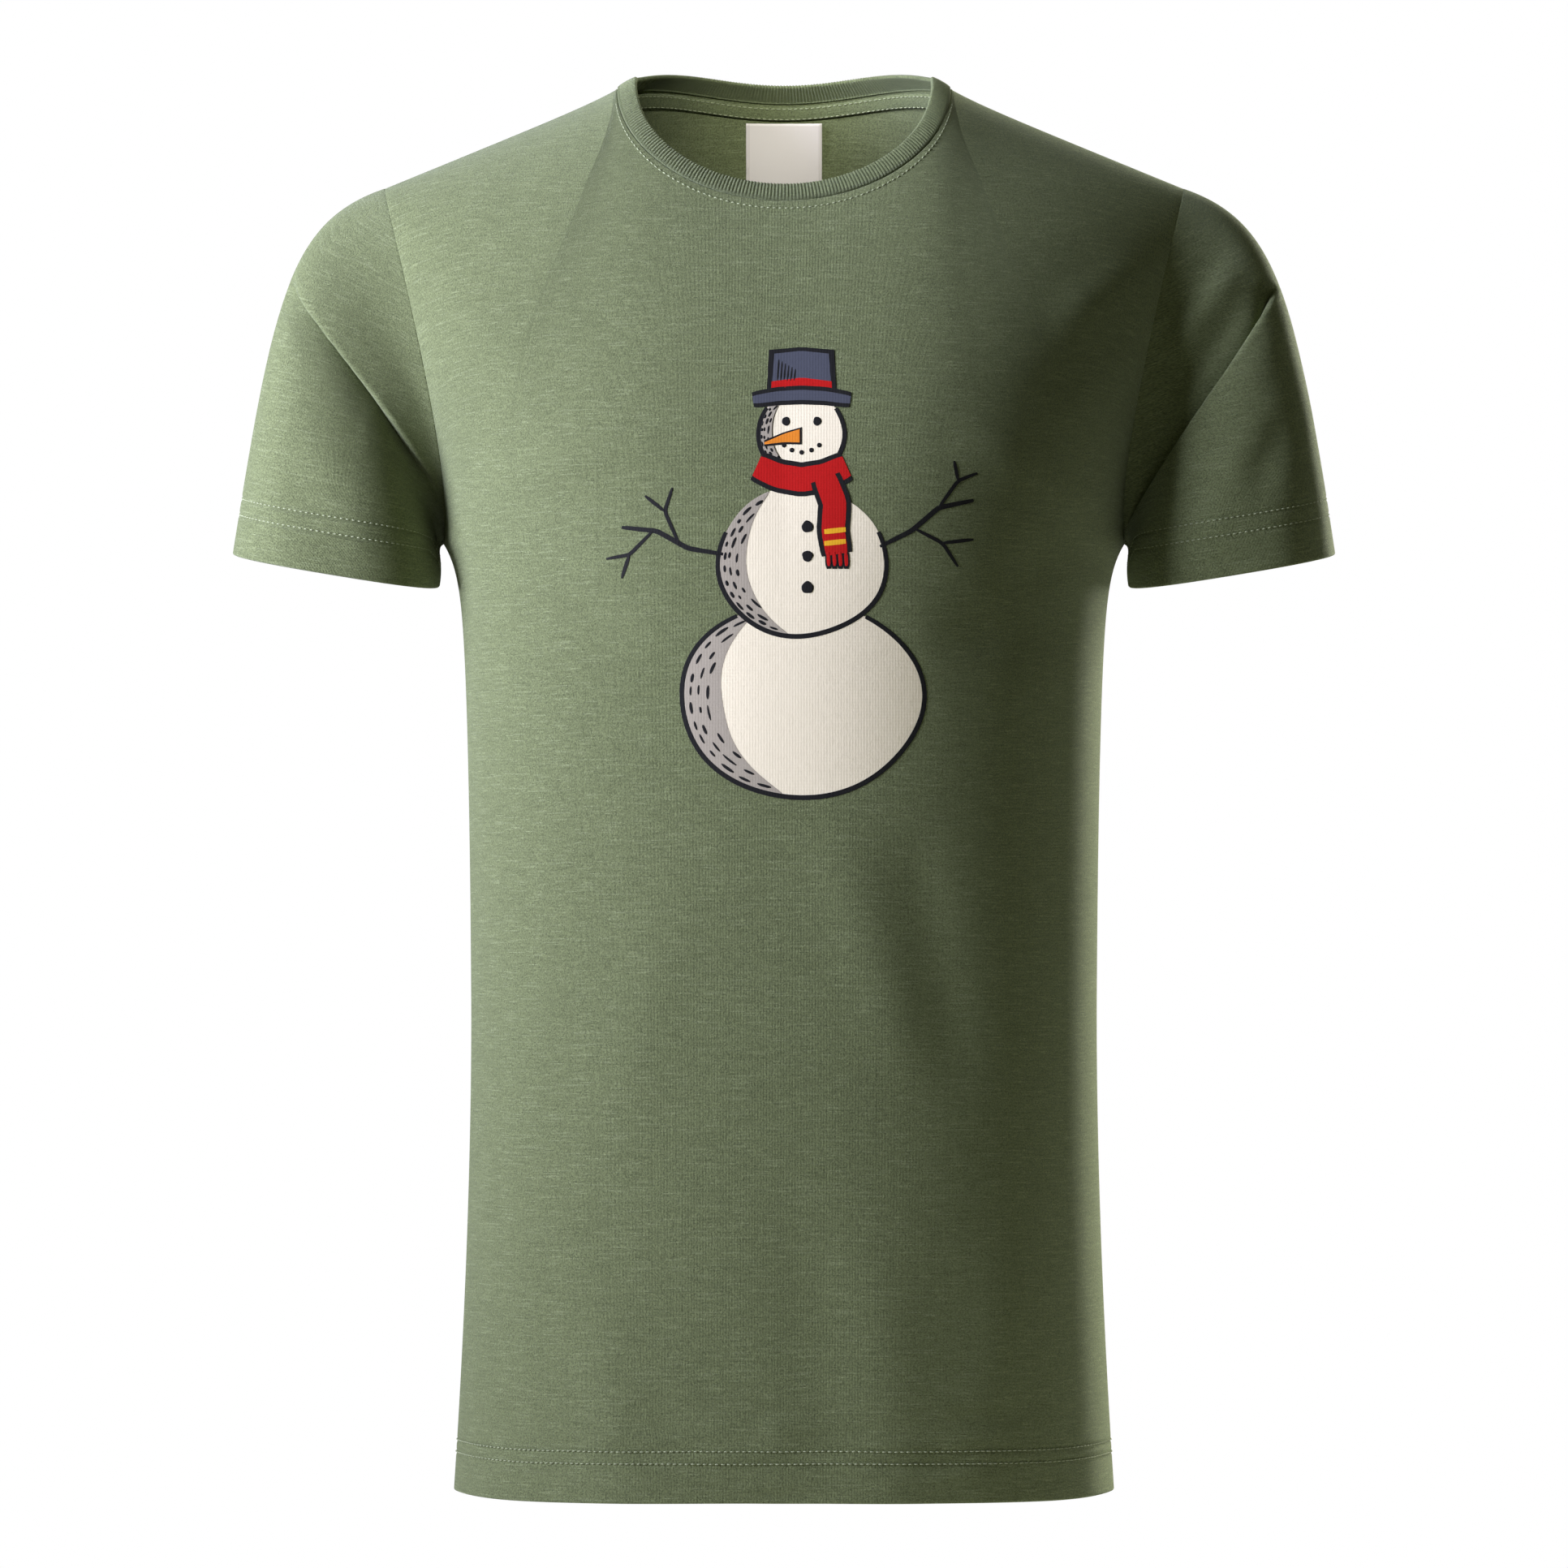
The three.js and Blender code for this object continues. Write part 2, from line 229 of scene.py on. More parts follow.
FRONT_FOLDS = (
    # start, end, width, height: drag lines from the armpits over the chest
    ((-168, -222), (-96, -196), 11, 2.4),
    ((-170, -240), (-104, -252), 13, -3.0),
    ((170, -226), (100, -190), 12, 2.6),
    ((168, -244), (112, -262), 14, -3.0),
    # hollows under the chest muscles
    ((-158, -276), (-84, -284), 17, -3.2),
    ((158, -280), (86, -290), 18, -3.0),
    # pull from the shoulder to the chest
    ((-186, -96), (-140, -150), 13, 2.2),
    ((190, -92), (146, -128), 11, 3.2),
    ((176, -128), (132, -168), 11, -2.2),
    # long soft folds that hang below the chest
    ((26, -395), (62, -505), 17, 1.8),
    ((66, -400), (92, -520), 15, -1.8),
    ((-60, -430), (-92, -560), 20, 1.5),
    ((8, -596), (26, -735), 19, -1.5),
    ((46, -600), (64, -735), 19, 1.2),
    ((-138, -588), (-100, -604), 7, 1.2),
    ((-96, -640), (-84, -740), 18, 1.8),
    ((118, -600), (104, -740), 16, 1.6),
)
BACK_FOLDS = (
    ((0, -90), (0, -330), 26, -7.0),
    ((-120, -150), (-60, -300), 24, 3.0),
    ((120, -150), (60, -300), 24, 3.0),
    ((-165, -230), (-80, -290), 14, -3.0),
    ((165, -230), (80, -290), 14, -3.0),
    ((-70, -400), (-95, -640), 20, 2.4),
    ((10, -420), (-6, -660), 22, -2.4),
    ((78, -390), (92, -640), 19, 2.2),
    ((-30, -560), (-44, -740), 15, 2.0),
    ((48, -600), (60, -740), 15, -2.0),
)


def puckers(count, seed):
    """Small level drag lines that the hem's stitching leaves: start, end, width and height of each."""
    random = np.random.default_rng(seed)
    x, z = random.uniform(-150, 150, count), HEM_Z + random.uniform(14, 62, count)
    reach, slant = random.uniform(9, 24, count), random.uniform(-2.5, 2.5, count)
    width, height = random.uniform(3.4, 5.2, count), random.uniform(-1.0, 0.9, count)
    return [((x[k] - reach[k], z[k]), (x[k] + reach[k], z[k] + slant[k]), width[k], height[k])
            for k in range(count)]


FOLDS = {
    FRONT: (*FRONT_FOLDS, *puckers(count=56, seed=5)),
    BACK: (*BACK_FOLDS, *puckers(count=40, seed=6)),
}
CHEST_SWELL = 4.0
CHEST_X = 88
CHEST_Z = -196
CHEST_REACH = 62
RIPPLE = 1.4
RIPPLE_LENGTH = 21
RIPPLE_REACH = 70


def relief(side, x, z):
    """All the folds of a panel, the two swells of the chest and a slow ripple along the hem."""
    height = sum(ridge(x, z, *fold) for fold in FOLDS[side])
    ripple = RIPPLE * np.sin(x / RIPPLE_LENGTH + side) * np.exp((HEM_Z - z) / RIPPLE_REACH)
    if side == BACK:
        return height + ripple
    swell = CHEST_SWELL * bell(np.abs(x), CHEST_X, CHEST_REACH) * bell(z, CHEST_Z, CHEST_REACH)
    return height + swell + ripple


def torso_point(side, across, z):
    """Middle of a torso panel's cloth.

    The share across the body gives the bulge of the superellipse, and bulge times roll times depth gives
    how far the cloth stands from the plane of the shoulders.
    """
    in_body = across * seam_half(z) / body_half(z)
    body_x = in_body * body_half(z)
    x = body_x + np.sign(across) * web(z) * np.abs(across) ** WEB_POWER
    depth = depth_at(side, z) + relief(side, body_x, z)
    y = side * (depth * superellipse(in_body) * roll_over(side, body_x, z) + SEAM_TURN)
    return np.stack(np.broadcast_arrays(x, y, z), axis=-1)


print("folds on the front and back:", len(FRONT_FOLDS), len(BACK_FOLDS))

# %% [markdown]
# ## From a grid of points to a piece of cloth
#
# A grid of points needs three things to become cloth: faces, a map of its own that says how far each
# point is along and across the cloth, and a thickness. The map is in metres of cloth, so that the knit
# keeps its real size and turns with the drape. Solidify gives the thickness, half to each side.


# %% Grids, normals and lengths
def unit(vectors):
    """Vectors divided by their own lengths."""
    return vectors / np.maximum(np.linalg.norm(vectors, axis=-1, keepdims=True), 1e-9)


def grid_normals(points, closed=False):
    """Across the columns crossed with up the rows, made unit long."""
    up = np.gradient(points, axis=0)
    if closed:
        across = np.roll(points, -1, axis=1) - np.roll(points, 1, axis=1)
    else:
        across = np.gradient(points, axis=1)
    return unit(np.cross(across, up))


def running_length(points, axis=0):
    """Distance along the rows or the columns of a grid, from its first point."""
    steps = np.linalg.norm(np.diff(points, axis=axis), axis=-1)
    start = np.zeros_like(np.take(steps, [0], axis=axis))
    return np.concatenate([start, np.cumsum(steps, axis=axis)], axis=axis)


def at_lengths(points, lengths, wanted):
    """Points at wanted lengths along each column, by straight lines between the grid's points."""
    columns = [
        [np.interp(wanted[:, j], lengths[:, j], points[:, j, k]) for k in range(3)]
        for j in range(points.shape[1])
    ]
    return np.transpose(np.array(columns), (2, 0, 1))


def looped(grid):
    """A grid with its first column once more after its last, so that it goes right round."""
    return np.concatenate([grid, grid[:, :1]], axis=1)


def corners(grid):
    """What a grid holds at the four corners of each face, in order round the face."""
    return np.stack([grid[:-1, :-1], grid[:-1, 1:], grid[1:, 1:], grid[1:, :-1]], axis=2)


def smooth_mesh(name, points, faces):
    """A mesh with smooth shading, from points in millimetres."""
    mesh = bpy.data.meshes.new(name)
    mesh.from_pydata((points.reshape(-1, 3) * MM).tolist(), [], faces)
    mesh.shade_smooth()
    return mesh


def mesh_from_grid(name, points, cloth_map=None, closed=False):
    """A mesh of four-sided faces on a grid. closed joins the last column to the first."""
    index = np.arange(points.shape[0] * points.shape[1]).reshape(points.shape[:2])
    faces = corners(looped(index) if closed else index).reshape(-1, 4)
    mesh = smooth_mesh(name, points, faces.tolist())
    if cloth_map is not None:
        layer = mesh.uv_layers.new(name="cloth")
        layer.data.foreach_set("uv", (corners(cloth_map) * MM).astype(np.float32).ravel())
    return mesh


def add_piece(mesh, finish, thickness=None, replaces=()):
    """Puts a mesh into the scene as a piece of the shirt, with its finish and its thickness."""
    piece = bpy.data.objects.new(mesh.name, mesh)
    SCENE.collection.objects.link(piece)
    mesh.materials.append(finish)
    if thickness:
        wall = piece.modifiers.new("thickness", "SOLIDIFY")
        wall.thickness = thickness * MM
        wall.offset = 0
    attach(piece, BODY)
    if replaces:
        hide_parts(*replaces)
    print(mesh.name, "faces:", len(mesh.polygons))
    return piece


def sheet_area(points):
    """Area of a grid in square metres: for each face half the length of its diagonals' cross product."""
    one = points[1:, 1:] - points[:-1, :-1]
    other = points[1:, :-1] - points[:-1, 1:]
    return float(np.linalg.norm(np.cross(one, other), axis=-1).sum() / 2 * MM * MM)


def print_cut(name, points):
    """Prints a sheet's longest row, longest column and area, measured along its grid in metres.

    The rows and columns of a grid are not all straight on the flat cloth. So the longest of them can be
    longer than the piece that was cut, and only the area has to agree.
    """
    across = running_length(points, axis=1)[:, -1].max() * MM
    along = running_length(points)[-1].max() * MM
    area = sheet_area(points)
    print(name, "longest row and column:", round(across, 3), round(along, 3), "area:", round(area, 4))


# %% [markdown]
# A cut edge is never left raw. At a seam the two cloths turn inwards side by side, which leaves a fine
# groove outside. At a hem the cloth is folded up inside and sewn flat, so the edge is round and double.


# %% Edges turned in at the seams, and folded hems
FOLD_ROWS = 5
GROOVE_REACH = 0.9
GROOVE_DEPTH = 0.65


def turned_in(points, depth, closed=False):
    """Adds rows after the last: a quarter circle inwards, then straight in for a depth."""
    normal = grid_normals(points, closed)[-1]
    onward = unit(points[-1] - points[-3])
    turn = np.linspace(0, math.pi / 2, 5)[1:, None, None]
    bend = points[-1] + SEAM_RADIUS * (onward * np.sin(turn) - normal * (1 - np.cos(turn)))
    tail = bend[-1] - normal * depth * np.array([0.5, 1.0])[:, None, None]
    return np.concatenate([points, bend, tail])


def folded_hem(points, rows, radius, closed=False):
    """Adds rows before the first: the hem's inner layer, then a half circle round the fold."""
    normals = grid_normals(points, closed)
    inner = (points[:rows] - 2 * radius * normals[:rows])[::-1]
    down = unit(points[0] - points[1])
    turn = np.linspace(math.pi, 0, FOLD_ROWS + 2)[1:-1, None, None]
    fold = points[0] + radius * (normals[0] * (np.cos(turn) - 1) + down * np.sin(turn))
    return np.concatenate([inner, fold, points])


def stitch_groove(lengths, rows_at):
    """How far a row of stitches pulls the cloth in, as bell curves of the distance from each row."""
    return sum(-GROOVE_DEPTH * bell(lengths, row, GROOVE_REACH) for row in rows_at)


# %% [markdown]
# ## Shader maths in Python
#
# A node tree is easier to read as sums than as boxes. The small class below wraps a socket, and the
# arithmetic signs between two wires, or a wire and a number, add the Math nodes. Every other node comes
# from one method, which takes the node's type, its settings, and values or links for its inputs.


# %% Wires and finishes
class Wire:
    """An output socket that can be used in arithmetic."""

    def __init__(self, finish, socket):
        self.finish = finish
        self.socket = socket

    def __add__(self, other):
        return self.finish.maths("ADD", self, other)

    def __sub__(self, other):
        return self.finish.maths("SUBTRACT", self, other)

    def __rsub__(self, other):
        return self.finish.maths("SUBTRACT", other, self)

    def __mul__(self, other):
        return self.finish.maths("MULTIPLY", self, other)

    def __truediv__(self, other):
        return self.finish.maths("DIVIDE", self, other)

    __radd__ = __add__
    __rmul__ = __mul__


class Finish:
    """A material whose nodes are written as expressions."""

    def __init__(self, name):
        self.material = bpy.data.materials.new(name)
        self.material.use_nodes = True
        self.tree = self.material.node_tree
        self.shader = self.tree.nodes["Principled BSDF"]

    def node(self, kind, settings=None, inputs=None):
        """Adds a node: its settings first, then a value or a wire for each input."""
        made = self.tree.nodes.new(kind)
        for key, value in (settings or {}).items():
            setattr(made, key, value)
        for key, value in (inputs or {}).items():
            self.feed(made.inputs[key], value)
        return made

    def feed(self, socket, value):
        """Links a wire to a socket, or sets the socket's own value."""
        if isinstance(value, Wire):
            self.tree.links.new(value.socket, socket)
        elif isinstance(value, tuple) and len(value) == 3 and socket.type == "RGBA":
            socket.default_value = (*value, 1.0)
        else:
            socket.default_value = value

    def wire(self, node, output=0):
        """One output of a node."""
        return Wire(self, node.outputs[output])

    def maths(self, operation, *values):
        """A Math node of the operation, fed with numbers or wires."""
        settings = {"operation": operation}
        return self.wire(self.node("ShaderNodeMath", settings, dict(enumerate(values))))

    def smooth(self, value, low, high):
        """0 to 1 as the value goes from low to high, eased at both ends."""
        settings = {"interpolation_type": "SMOOTHSTEP"}
        inputs = {"Value": value, "From Min": low, "From Max": high}
        return self.wire(self.node("ShaderNodeMapRange", settings, inputs))

    def blend(self, factor, first, second, way="MIX"):
        """Mixes two colours."""
        settings = {"data_type": "RGBA", "blend_type": way}
        return self.wire(self.node("ShaderNodeMix", settings, {0: factor, 6: first, 7: second}), 2)

    def vector(self, x, y=0.0, z=0.0):
        """Three numbers or wires as one vector."""
        return self.wire(self.node("ShaderNodeCombineXYZ", None, {0: x, 1: y, 2: z}))

    def parts(self, vector):
        """The three numbers of a vector."""
        split = self.node("ShaderNodeSeparateXYZ", None, {0: vector})
        return [self.wire(split, i) for i in range(3)]

    def noise(self, vector, scale=1.0, detail=2.0, dimensions="3D"):
        """Smooth noise of about 0 to 1; each step of detail adds finer noise to it."""
        settings = {"noise_dimensions": dimensions}
        inputs = {"Vector": vector, "Scale": scale, "Detail": detail}
        return self.wire(self.node("ShaderNodeTexNoise", settings, inputs))

    def scatter(self, vector):
        """A different random number for each different vector."""
        return self.wire(self.node("ShaderNodeTexWhiteNoise", {"noise_dimensions": "2D"}, {"Vector": vector}))

    def cloth_map(self):
        """Metres across and along the cloth, from the piece's own map."""
        return self.parts(self.wire(self.node("ShaderNodeUVMap", {"uv_map": "cloth"})))[:2]

    def place(self):
        """The point's place in the piece's own coordinates, in metres."""
        return self.wire(self.node("ShaderNodeTexCoord"), 3)

    def bump(self, height, distance, strength=1.0):
        """A normal tilted by the slope of a height, as if the height were real."""
        inputs = {"Height": height, "Distance": distance, "Strength": strength}
        return self.wire(self.node("ShaderNodeBump", None, inputs))

    def surface(self, **values):
        """Sets or links the shader's own sockets; an underscore in a name stands for a space."""
        for key, value in values.items():
            self.feed(self.shader.inputs[key.replace("_", " ")], value)
        return self.material


# %% [markdown]
# ## Slub jersey
#
# Jersey is knitted from one yarn in level rows of loops called courses, and the loops stand in upright
# columns called wales. Slub yarn is thick in places, and each thick place shows as a short pale streak
# along a course. The yarn is spun from fibres of two dyes, so single loops differ a little. All of it is
# worked out from the piece's own map: whole numbers count the courses and wales, a noise stretched along
# each course makes the slubs, a random number for each loop makes the heather, and a fine noise stands
# for single fibres.

# %% Jersey finish
COURSE = 0.00056
WALE = 0.00058
SLUB_LENGTH = 0.017


def knit_finish(name, base, pale, dark, slub_strength=1.0, sheen=0.32):
    """Knitted cotton in three shades of one colour."""
    cloth = Finish(name)
    u, v = cloth.cloth_map()
    course = v / COURSE
    wale = u / WALE
    row = cloth.maths("FLOOR", course)
    column = cloth.maths("FLOOR", wale)
    yarn = cloth.noise(cloth.vector(u / SLUB_LENGTH, row * 5.37), detail=1.0, dimensions="2D")
    thick = cloth.smooth(yarn, 0.57, 0.76)
    thin = cloth.smooth(yarn, 0.44, 0.26)
    heather = cloth.scatter(cloth.vector(column, row))
    stripe = cloth.scatter(cloth.vector(column, 0.5))
    fibre = cloth.noise(cloth.vector(u, v), scale=1150.0, detail=2.0)
    cloud = cloth.noise(cloth.vector(u, v), scale=38.0, detail=3.0)
    slub = thick * slub_strength
    colour = cloth.blend(slub * 0.32, base, pale)
    colour = cloth.blend(thin * 0.35 * slub_strength, colour, dark)
    shade = 0.16 + heather * 0.5 + stripe * 0.06 + fibre * 1.1 + (cloud - 0.5) * 0.08
    colour = cloth.blend(1.0, colour, cloth.vector(shade, shade, shade), "MULTIPLY")
    upright = cloth.maths("SINE", wale * (2 * math.pi))
    level = cloth.maths("SINE", course * (2 * math.pi))
    height = upright * 0.5 + level * 0.35 + slub * 0.8 + heather * 1.2 + fibre * 3.0
    return cloth.surface(
        Base_Color=colour, Roughness=0.88, Sheen_Weight=sheen, Sheen_Roughness=0.45,
        Sheen_Tint=(0.9, 1.0, 0.72), Specular_IOR_Level=0.15,
        Normal=cloth.bump(height, 0.00016, 0.85),
    )


JERSEY_BASE = (0.162, 0.19, 0.082)
JERSEY_PALE = (0.3, 0.345, 0.175)
JERSEY_DARK = (0.1, 0.12, 0.048)
jersey = knit_finish("slub_jersey", JERSEY_BASE, JERSEY_PALE, JERSEY_DARK)
rib_knit = knit_finish("rib_knit", (0.154, 0.182, 0.08), JERSEY_PALE, JERSEY_DARK, slub_strength=0.35)
print("knit finishes:", jersey.name, rib_knit.name)

# %% [markdown]
# ## The front and back panels
#
# A panel is a set of strings that run up the body from the hem to the shoulder or collar seam. The
# strings are spread evenly round the body at the hem and evenly along the seams at the top, and they
# glide from one spread to the other above the armpit. Along each string the points are spaced by the
# length of the cloth, closer together in the hem, where the stitches pull it in.

# %% Where the strings of a panel begin and end
PANEL_STRINGS = 160
TOP_SAMPLES = 400
STRING_SAMPLES = 500
HEM_ZONE = 30
HEM_ZONE_STEPS = 24
HEM_INNER_ROWS = 22
HEM_RADIUS = 0.55
HEM_SIDE_LIFT = 5
HEM_SIDE_POWER = 9
PANEL_STEPS = 176
HEM_STITCH_ROWS = (19.5, 25.9)
SEAM_ALLOWANCE = 4
COLLAR_ALLOWANCE = 0.5


def collar_z(side, angle):
    """Height of the collar seam: half an ellipse in front, two shallow waves at the nape."""
    return -NECK_DROP * np.sin(angle) if side == FRONT else NECK_RISE * np.sin(2 * angle) ** 2


def panel_top(side, count):
    """Share across and height of count points spread evenly along a panel's shoulder and collar seams."""
    shoulder_x = np.linspace(SHOULDER_HALF, NECK_HALF, TOP_SAMPLES)
    angle = np.linspace(0, math.pi, TOP_SAMPLES)[1:-1]
    x = np.concatenate([shoulder_x, NECK_HALF * np.cos(angle), -shoulder_x[::-1]])
    z = np.concatenate([shoulder_z(shoulder_x), collar_z(side, angle), shoulder_z(shoulder_x[::-1])])
    across = x / seam_half(z)
    length = running_length(torso_point(side, across, z))
    wanted = np.linspace(0, length[-1], count)
    spread = np.interp(wanted, length, across), np.interp(wanted, length, z)
    return (spread[0][::-1], spread[1][::-1]) if side == FRONT else spread


def hem_across(side, count):
    """Shares across, spread evenly round the superellipse of the hem."""
    angle = side * np.linspace(1, -1, count) * math.pi / 2
    return np.sign(angle) * np.abs(np.sin(angle)) ** (2 / SECTION_POWER)


def hem_z(side, across):
    """The hem's height: lifted by a superellipse in front, and a little by the seam at each side."""
    at_seam = HEM_Z + HEM_SIDE_LIFT * np.abs(across) ** HEM_SIDE_POWER
    return at_seam + HEM_LIFT * superellipse(across) if side == FRONT else at_seam


# %% Build a panel
def panel_grid(side):
    """Points of a panel from hem to top, and the length of cloth below each of them."""
    top_across, top_z = panel_top(side, PANEL_STRINGS)
    foot_across = hem_across(side, PANEL_STRINGS)
    foot_z = hem_z(side, foot_across)
    share = np.linspace(0, 1, STRING_SAMPLES)[:, None]
    armpit_share = (ARMPIT_Z - HEM_Z) / (TIP_Z - HEM_Z)
    glide = smooth_step(armpit_share, 1.0, share)
    across = foot_across + (top_across - foot_across) * glide
    dense = torso_point(side, across, foot_z + (top_z - foot_z) * share)
    lengths = running_length(dense)
    zone = np.linspace(0, HEM_ZONE, HEM_ZONE_STEPS + 1)[:, None] + 0 * lengths[-1]
    rest = np.linspace(0, 1, PANEL_STEPS + 1)[1:, None]
    wanted = np.concatenate([zone, HEM_ZONE + rest * (lengths[-1] - HEM_ZONE)])
    return at_lengths(dense, lengths, wanted), wanted


def turned_sides(points, depth):
    """Turns in the last column, then half turns the grid and does the same to the other side."""
    for _ in range(2):
        laid_down = np.swapaxes(points, 0, 1)[:, ::-1]
        sewn = turned_in(laid_down, depth)[:, ::-1]
        points = np.swapaxes(sewn, 0, 1)[::-1, ::-1]
    return points


def sewn_panel(points, lengths):
    """Adds stitch grooves, the folded hem and the turned seam edges to a panel's points."""
    points = points + grid_normals(points) * stitch_groove(lengths, HEM_STITCH_ROWS)[..., None]
    points = folded_hem(turned_sides(points, SEAM_ALLOWANCE), HEM_INNER_ROWS, HEM_RADIUS)
    return turned_in(points, COLLAR_ALLOWANCE)


def cloth_map_of(points, first_outer_row):
    """Metres along each string from the hem's fold, and across from the middle string."""
    along = running_length(points)
    along = along - along[first_outer_row]
    across = running_length(points, axis=1)
    middle = points.shape[1] // 2
    return np.stack([across - across[:, [middle]], along], axis=-1)


def build_panel(name, side, node):
    """One panel as a piece, with the grid it came from for the pieces that lie on it."""
    points, lengths = panel_grid(side)
    sewn = sewn_panel(points, lengths)
    mesh = mesh_from_grid(name, sewn, cloth_map_of(sewn, HEM_INNER_ROWS + FOLD_ROWS))
    piece = add_piece(mesh, jersey, JERSEY, (node,))
    print_cut(name, sewn)
    return piece, points, lengths


front_panel, front_points, front_lengths = build_panel("front_cloth", FRONT, "front_panel")
back_panel, back_points, back_lengths = build_panel("back_cloth", BACK, "back_panel")

# %% [markdown]
# ## The sleeves
#
# A sleeve is a tube of strings from the armhole to the cuff. Each string is a cubic Bezier curve, which
# leaves the armhole along the shoulder and arrives square at the cuff. On a hanging arm the cloth between
# cap and armpit is too long for the space, so it folds over itself. That one sharp crease, from the outer
# edge down to the armpit, is what makes the sleeve look like cloth. A simple displacement can't make an
# overhang. So the cloth above the crease is pushed out and also down over the line, and the cloth below
# is pushed in and up under it. In front on the wearer's left it is the other way up.

# %% Sleeve dimensions
CUFF_CENTRE = np.array([237, 0, -253.4])
CUFF_OUTWARD = np.array([54, 0, 9])
CUFF_FORWARD = np.array([0, -57, -4])
CUFF_POWER = 2.5  # the cuff is a superellipse, flatter in front than an oval
SLEEVE_START = np.array([0.949, 0, -0.316])
SLEEVE_LEAN = 0.3  # how much the cap turns away to the side as it leaves the seam
SLEEVE_START_PULL = 0.26
SLEEVE_END_PULL = 0.65
SLEEVE_GAP = 1.1 * SEAM_TURN  # the sleeve's own turned edge starts this far past the seam
SLEEVE_STRINGS = 290
SLEEVE_STEPS = 92
CUFF_STITCH_ROWS = (20.5, 29.0)
CUFF_ZONE = 34
CUFF_ZONE_SHARE = 0.8  # where a string is short, the hem takes at most this share of it
CUFF_INNER_ROWS = 18


def cubic(t, start, leave, arrive, end):
    """A cubic Bezier curve: its four points, each weighted by a term of 1 - t plus t, cubed."""
    return (1 - t) ** 3 * start + 3 * (1 - t) ** 2 * t * leave + 3 * (1 - t) * t * t * arrive + t**3 * end


def armhole_point(turn):
    """The armhole seam at +X: 0 at the shoulder tip, a quarter turn on at the front."""
    z = ARMPIT_Z + (TIP_Z - ARMPIT_Z) * (1 + np.cos(turn)) / 2
    front, back = (torso_point(side, 1.0, z) for side in (FRONT, BACK))
    return np.where(np.sin(turn)[..., None] > 0, front, back)


def sleeve_strings(turn, share):
    """Cubic Bezier curves from the armhole to the cuff, for every share of the way and every turn."""
    start = armhole_point(turn)
    outward, forward = (np.sign(n) * np.abs(n) ** (2 / CUFF_POWER) for n in (np.cos(turn), np.sin(turn)))
    end = CUFF_CENTRE + CUFF_OUTWARD * outward[:, None] + CUFF_FORWARD * forward[:, None]
    length = np.linalg.norm(end - start, axis=-1, keepdims=True)
    square = unit(np.cross(CUFF_FORWARD, CUFF_OUTWARD).astype(float))
    lean = -SLEEVE_LEAN * start[..., 1:2] / np.abs(start[..., 1]).max() * np.array([0, 1, 0])
    leave = start + (SLEEVE_START + lean) * SLEEVE_START_PULL * length
    arrive = end + square * SLEEVE_END_PULL * length
    return cubic(share[:, None, None], start, leave, arrive, end)


# %% Creases and soft folds of a sleeve
CREASE_SAMPLES = 90
CREASE_WIDTH = 2.2  # half the width of the step from the lip down to the hollow
LIP_REACH = 10
LIP_BACK = 9  # the lip swells this far back from its edge, and rolls down from there
HOLLOW_REACH = 13
TUCK = 3.2  # how far the lip is pushed over the hollow
TUCK_REACH = 6.0
SLIT = 4.4  # the cloth dips this much deeper right beside the lip
SLIT_REACH = 3.6
SEAM_HOLD = 8  # the armhole seam keeps the cloth in place within this distance


def crease(points, normals, facing, control, lip, hollow, tuck, over=1):
    """Folds the cloth over itself along a curve seen from the front or the back.

    With d the distance below the curve, the lip is a bell curve where d is negative, and the hollow and the
    narrower slit die away exponentially where d is positive. The tuck moves both sides towards the curve.
    With over at -1 the two sides change places, and the lower cloth hangs over the upper.
    """
    curve = cubic(np.linspace(0, 1, CREASE_SAMPLES)[:, None], *np.array(control, float))
    tangent = unit(np.gradient(curve, axis=0))
    below = np.stack([-tangent[:, 1], tangent[:, 0]], axis=-1)
    flat = np.stack([np.abs(points[..., 0]), points[..., 2]], axis=-1)
    gap = flat[..., None, :] - curve
    nearest = np.argmin((gap**2).sum(-1), axis=-1)
    offset = np.take_along_axis(gap, nearest[..., None, None], axis=-2)[..., 0, :]
    d = over * (offset * below[nearest]).sum(-1)
    beyond = np.abs((offset * tangent[nearest]).sum(-1))
    along = nearest / (CREASE_SAMPLES - 1)
    weight = facing * smooth_step(0.0, 0.12, along) * np.exp(-((beyond / 9) ** 2))
    under = smooth_step(-CREASE_WIDTH, CREASE_WIDTH, d)
    depth = hollow * (0.75 + 0.25 * along)
    push = lip * smooth_step(0.0, 0.5, along) * np.exp(-(((d + LIP_BACK) / LIP_REACH) ** 2)) * (1 - under)
    past = np.maximum(d, 0)
    push = push - (depth * np.exp(-past / HOLLOW_REACH) + SLIT * np.exp(-past / SLIT_REACH)) * under
    slide = tuck * np.exp(-((d / TUCK_REACH) ** 2)) * (1 - 2 * under)
    way = np.zeros_like(points)
    way[..., 0] = over * np.sign(points[..., 0]) * below[nearest][..., 0]
    way[..., 2] = over * below[nearest][..., 1]
    way = way - normals * (way * normals).sum(-1, keepdims=True)
    return weight[..., None] * (normals * push[..., None] + way * slide[..., None])


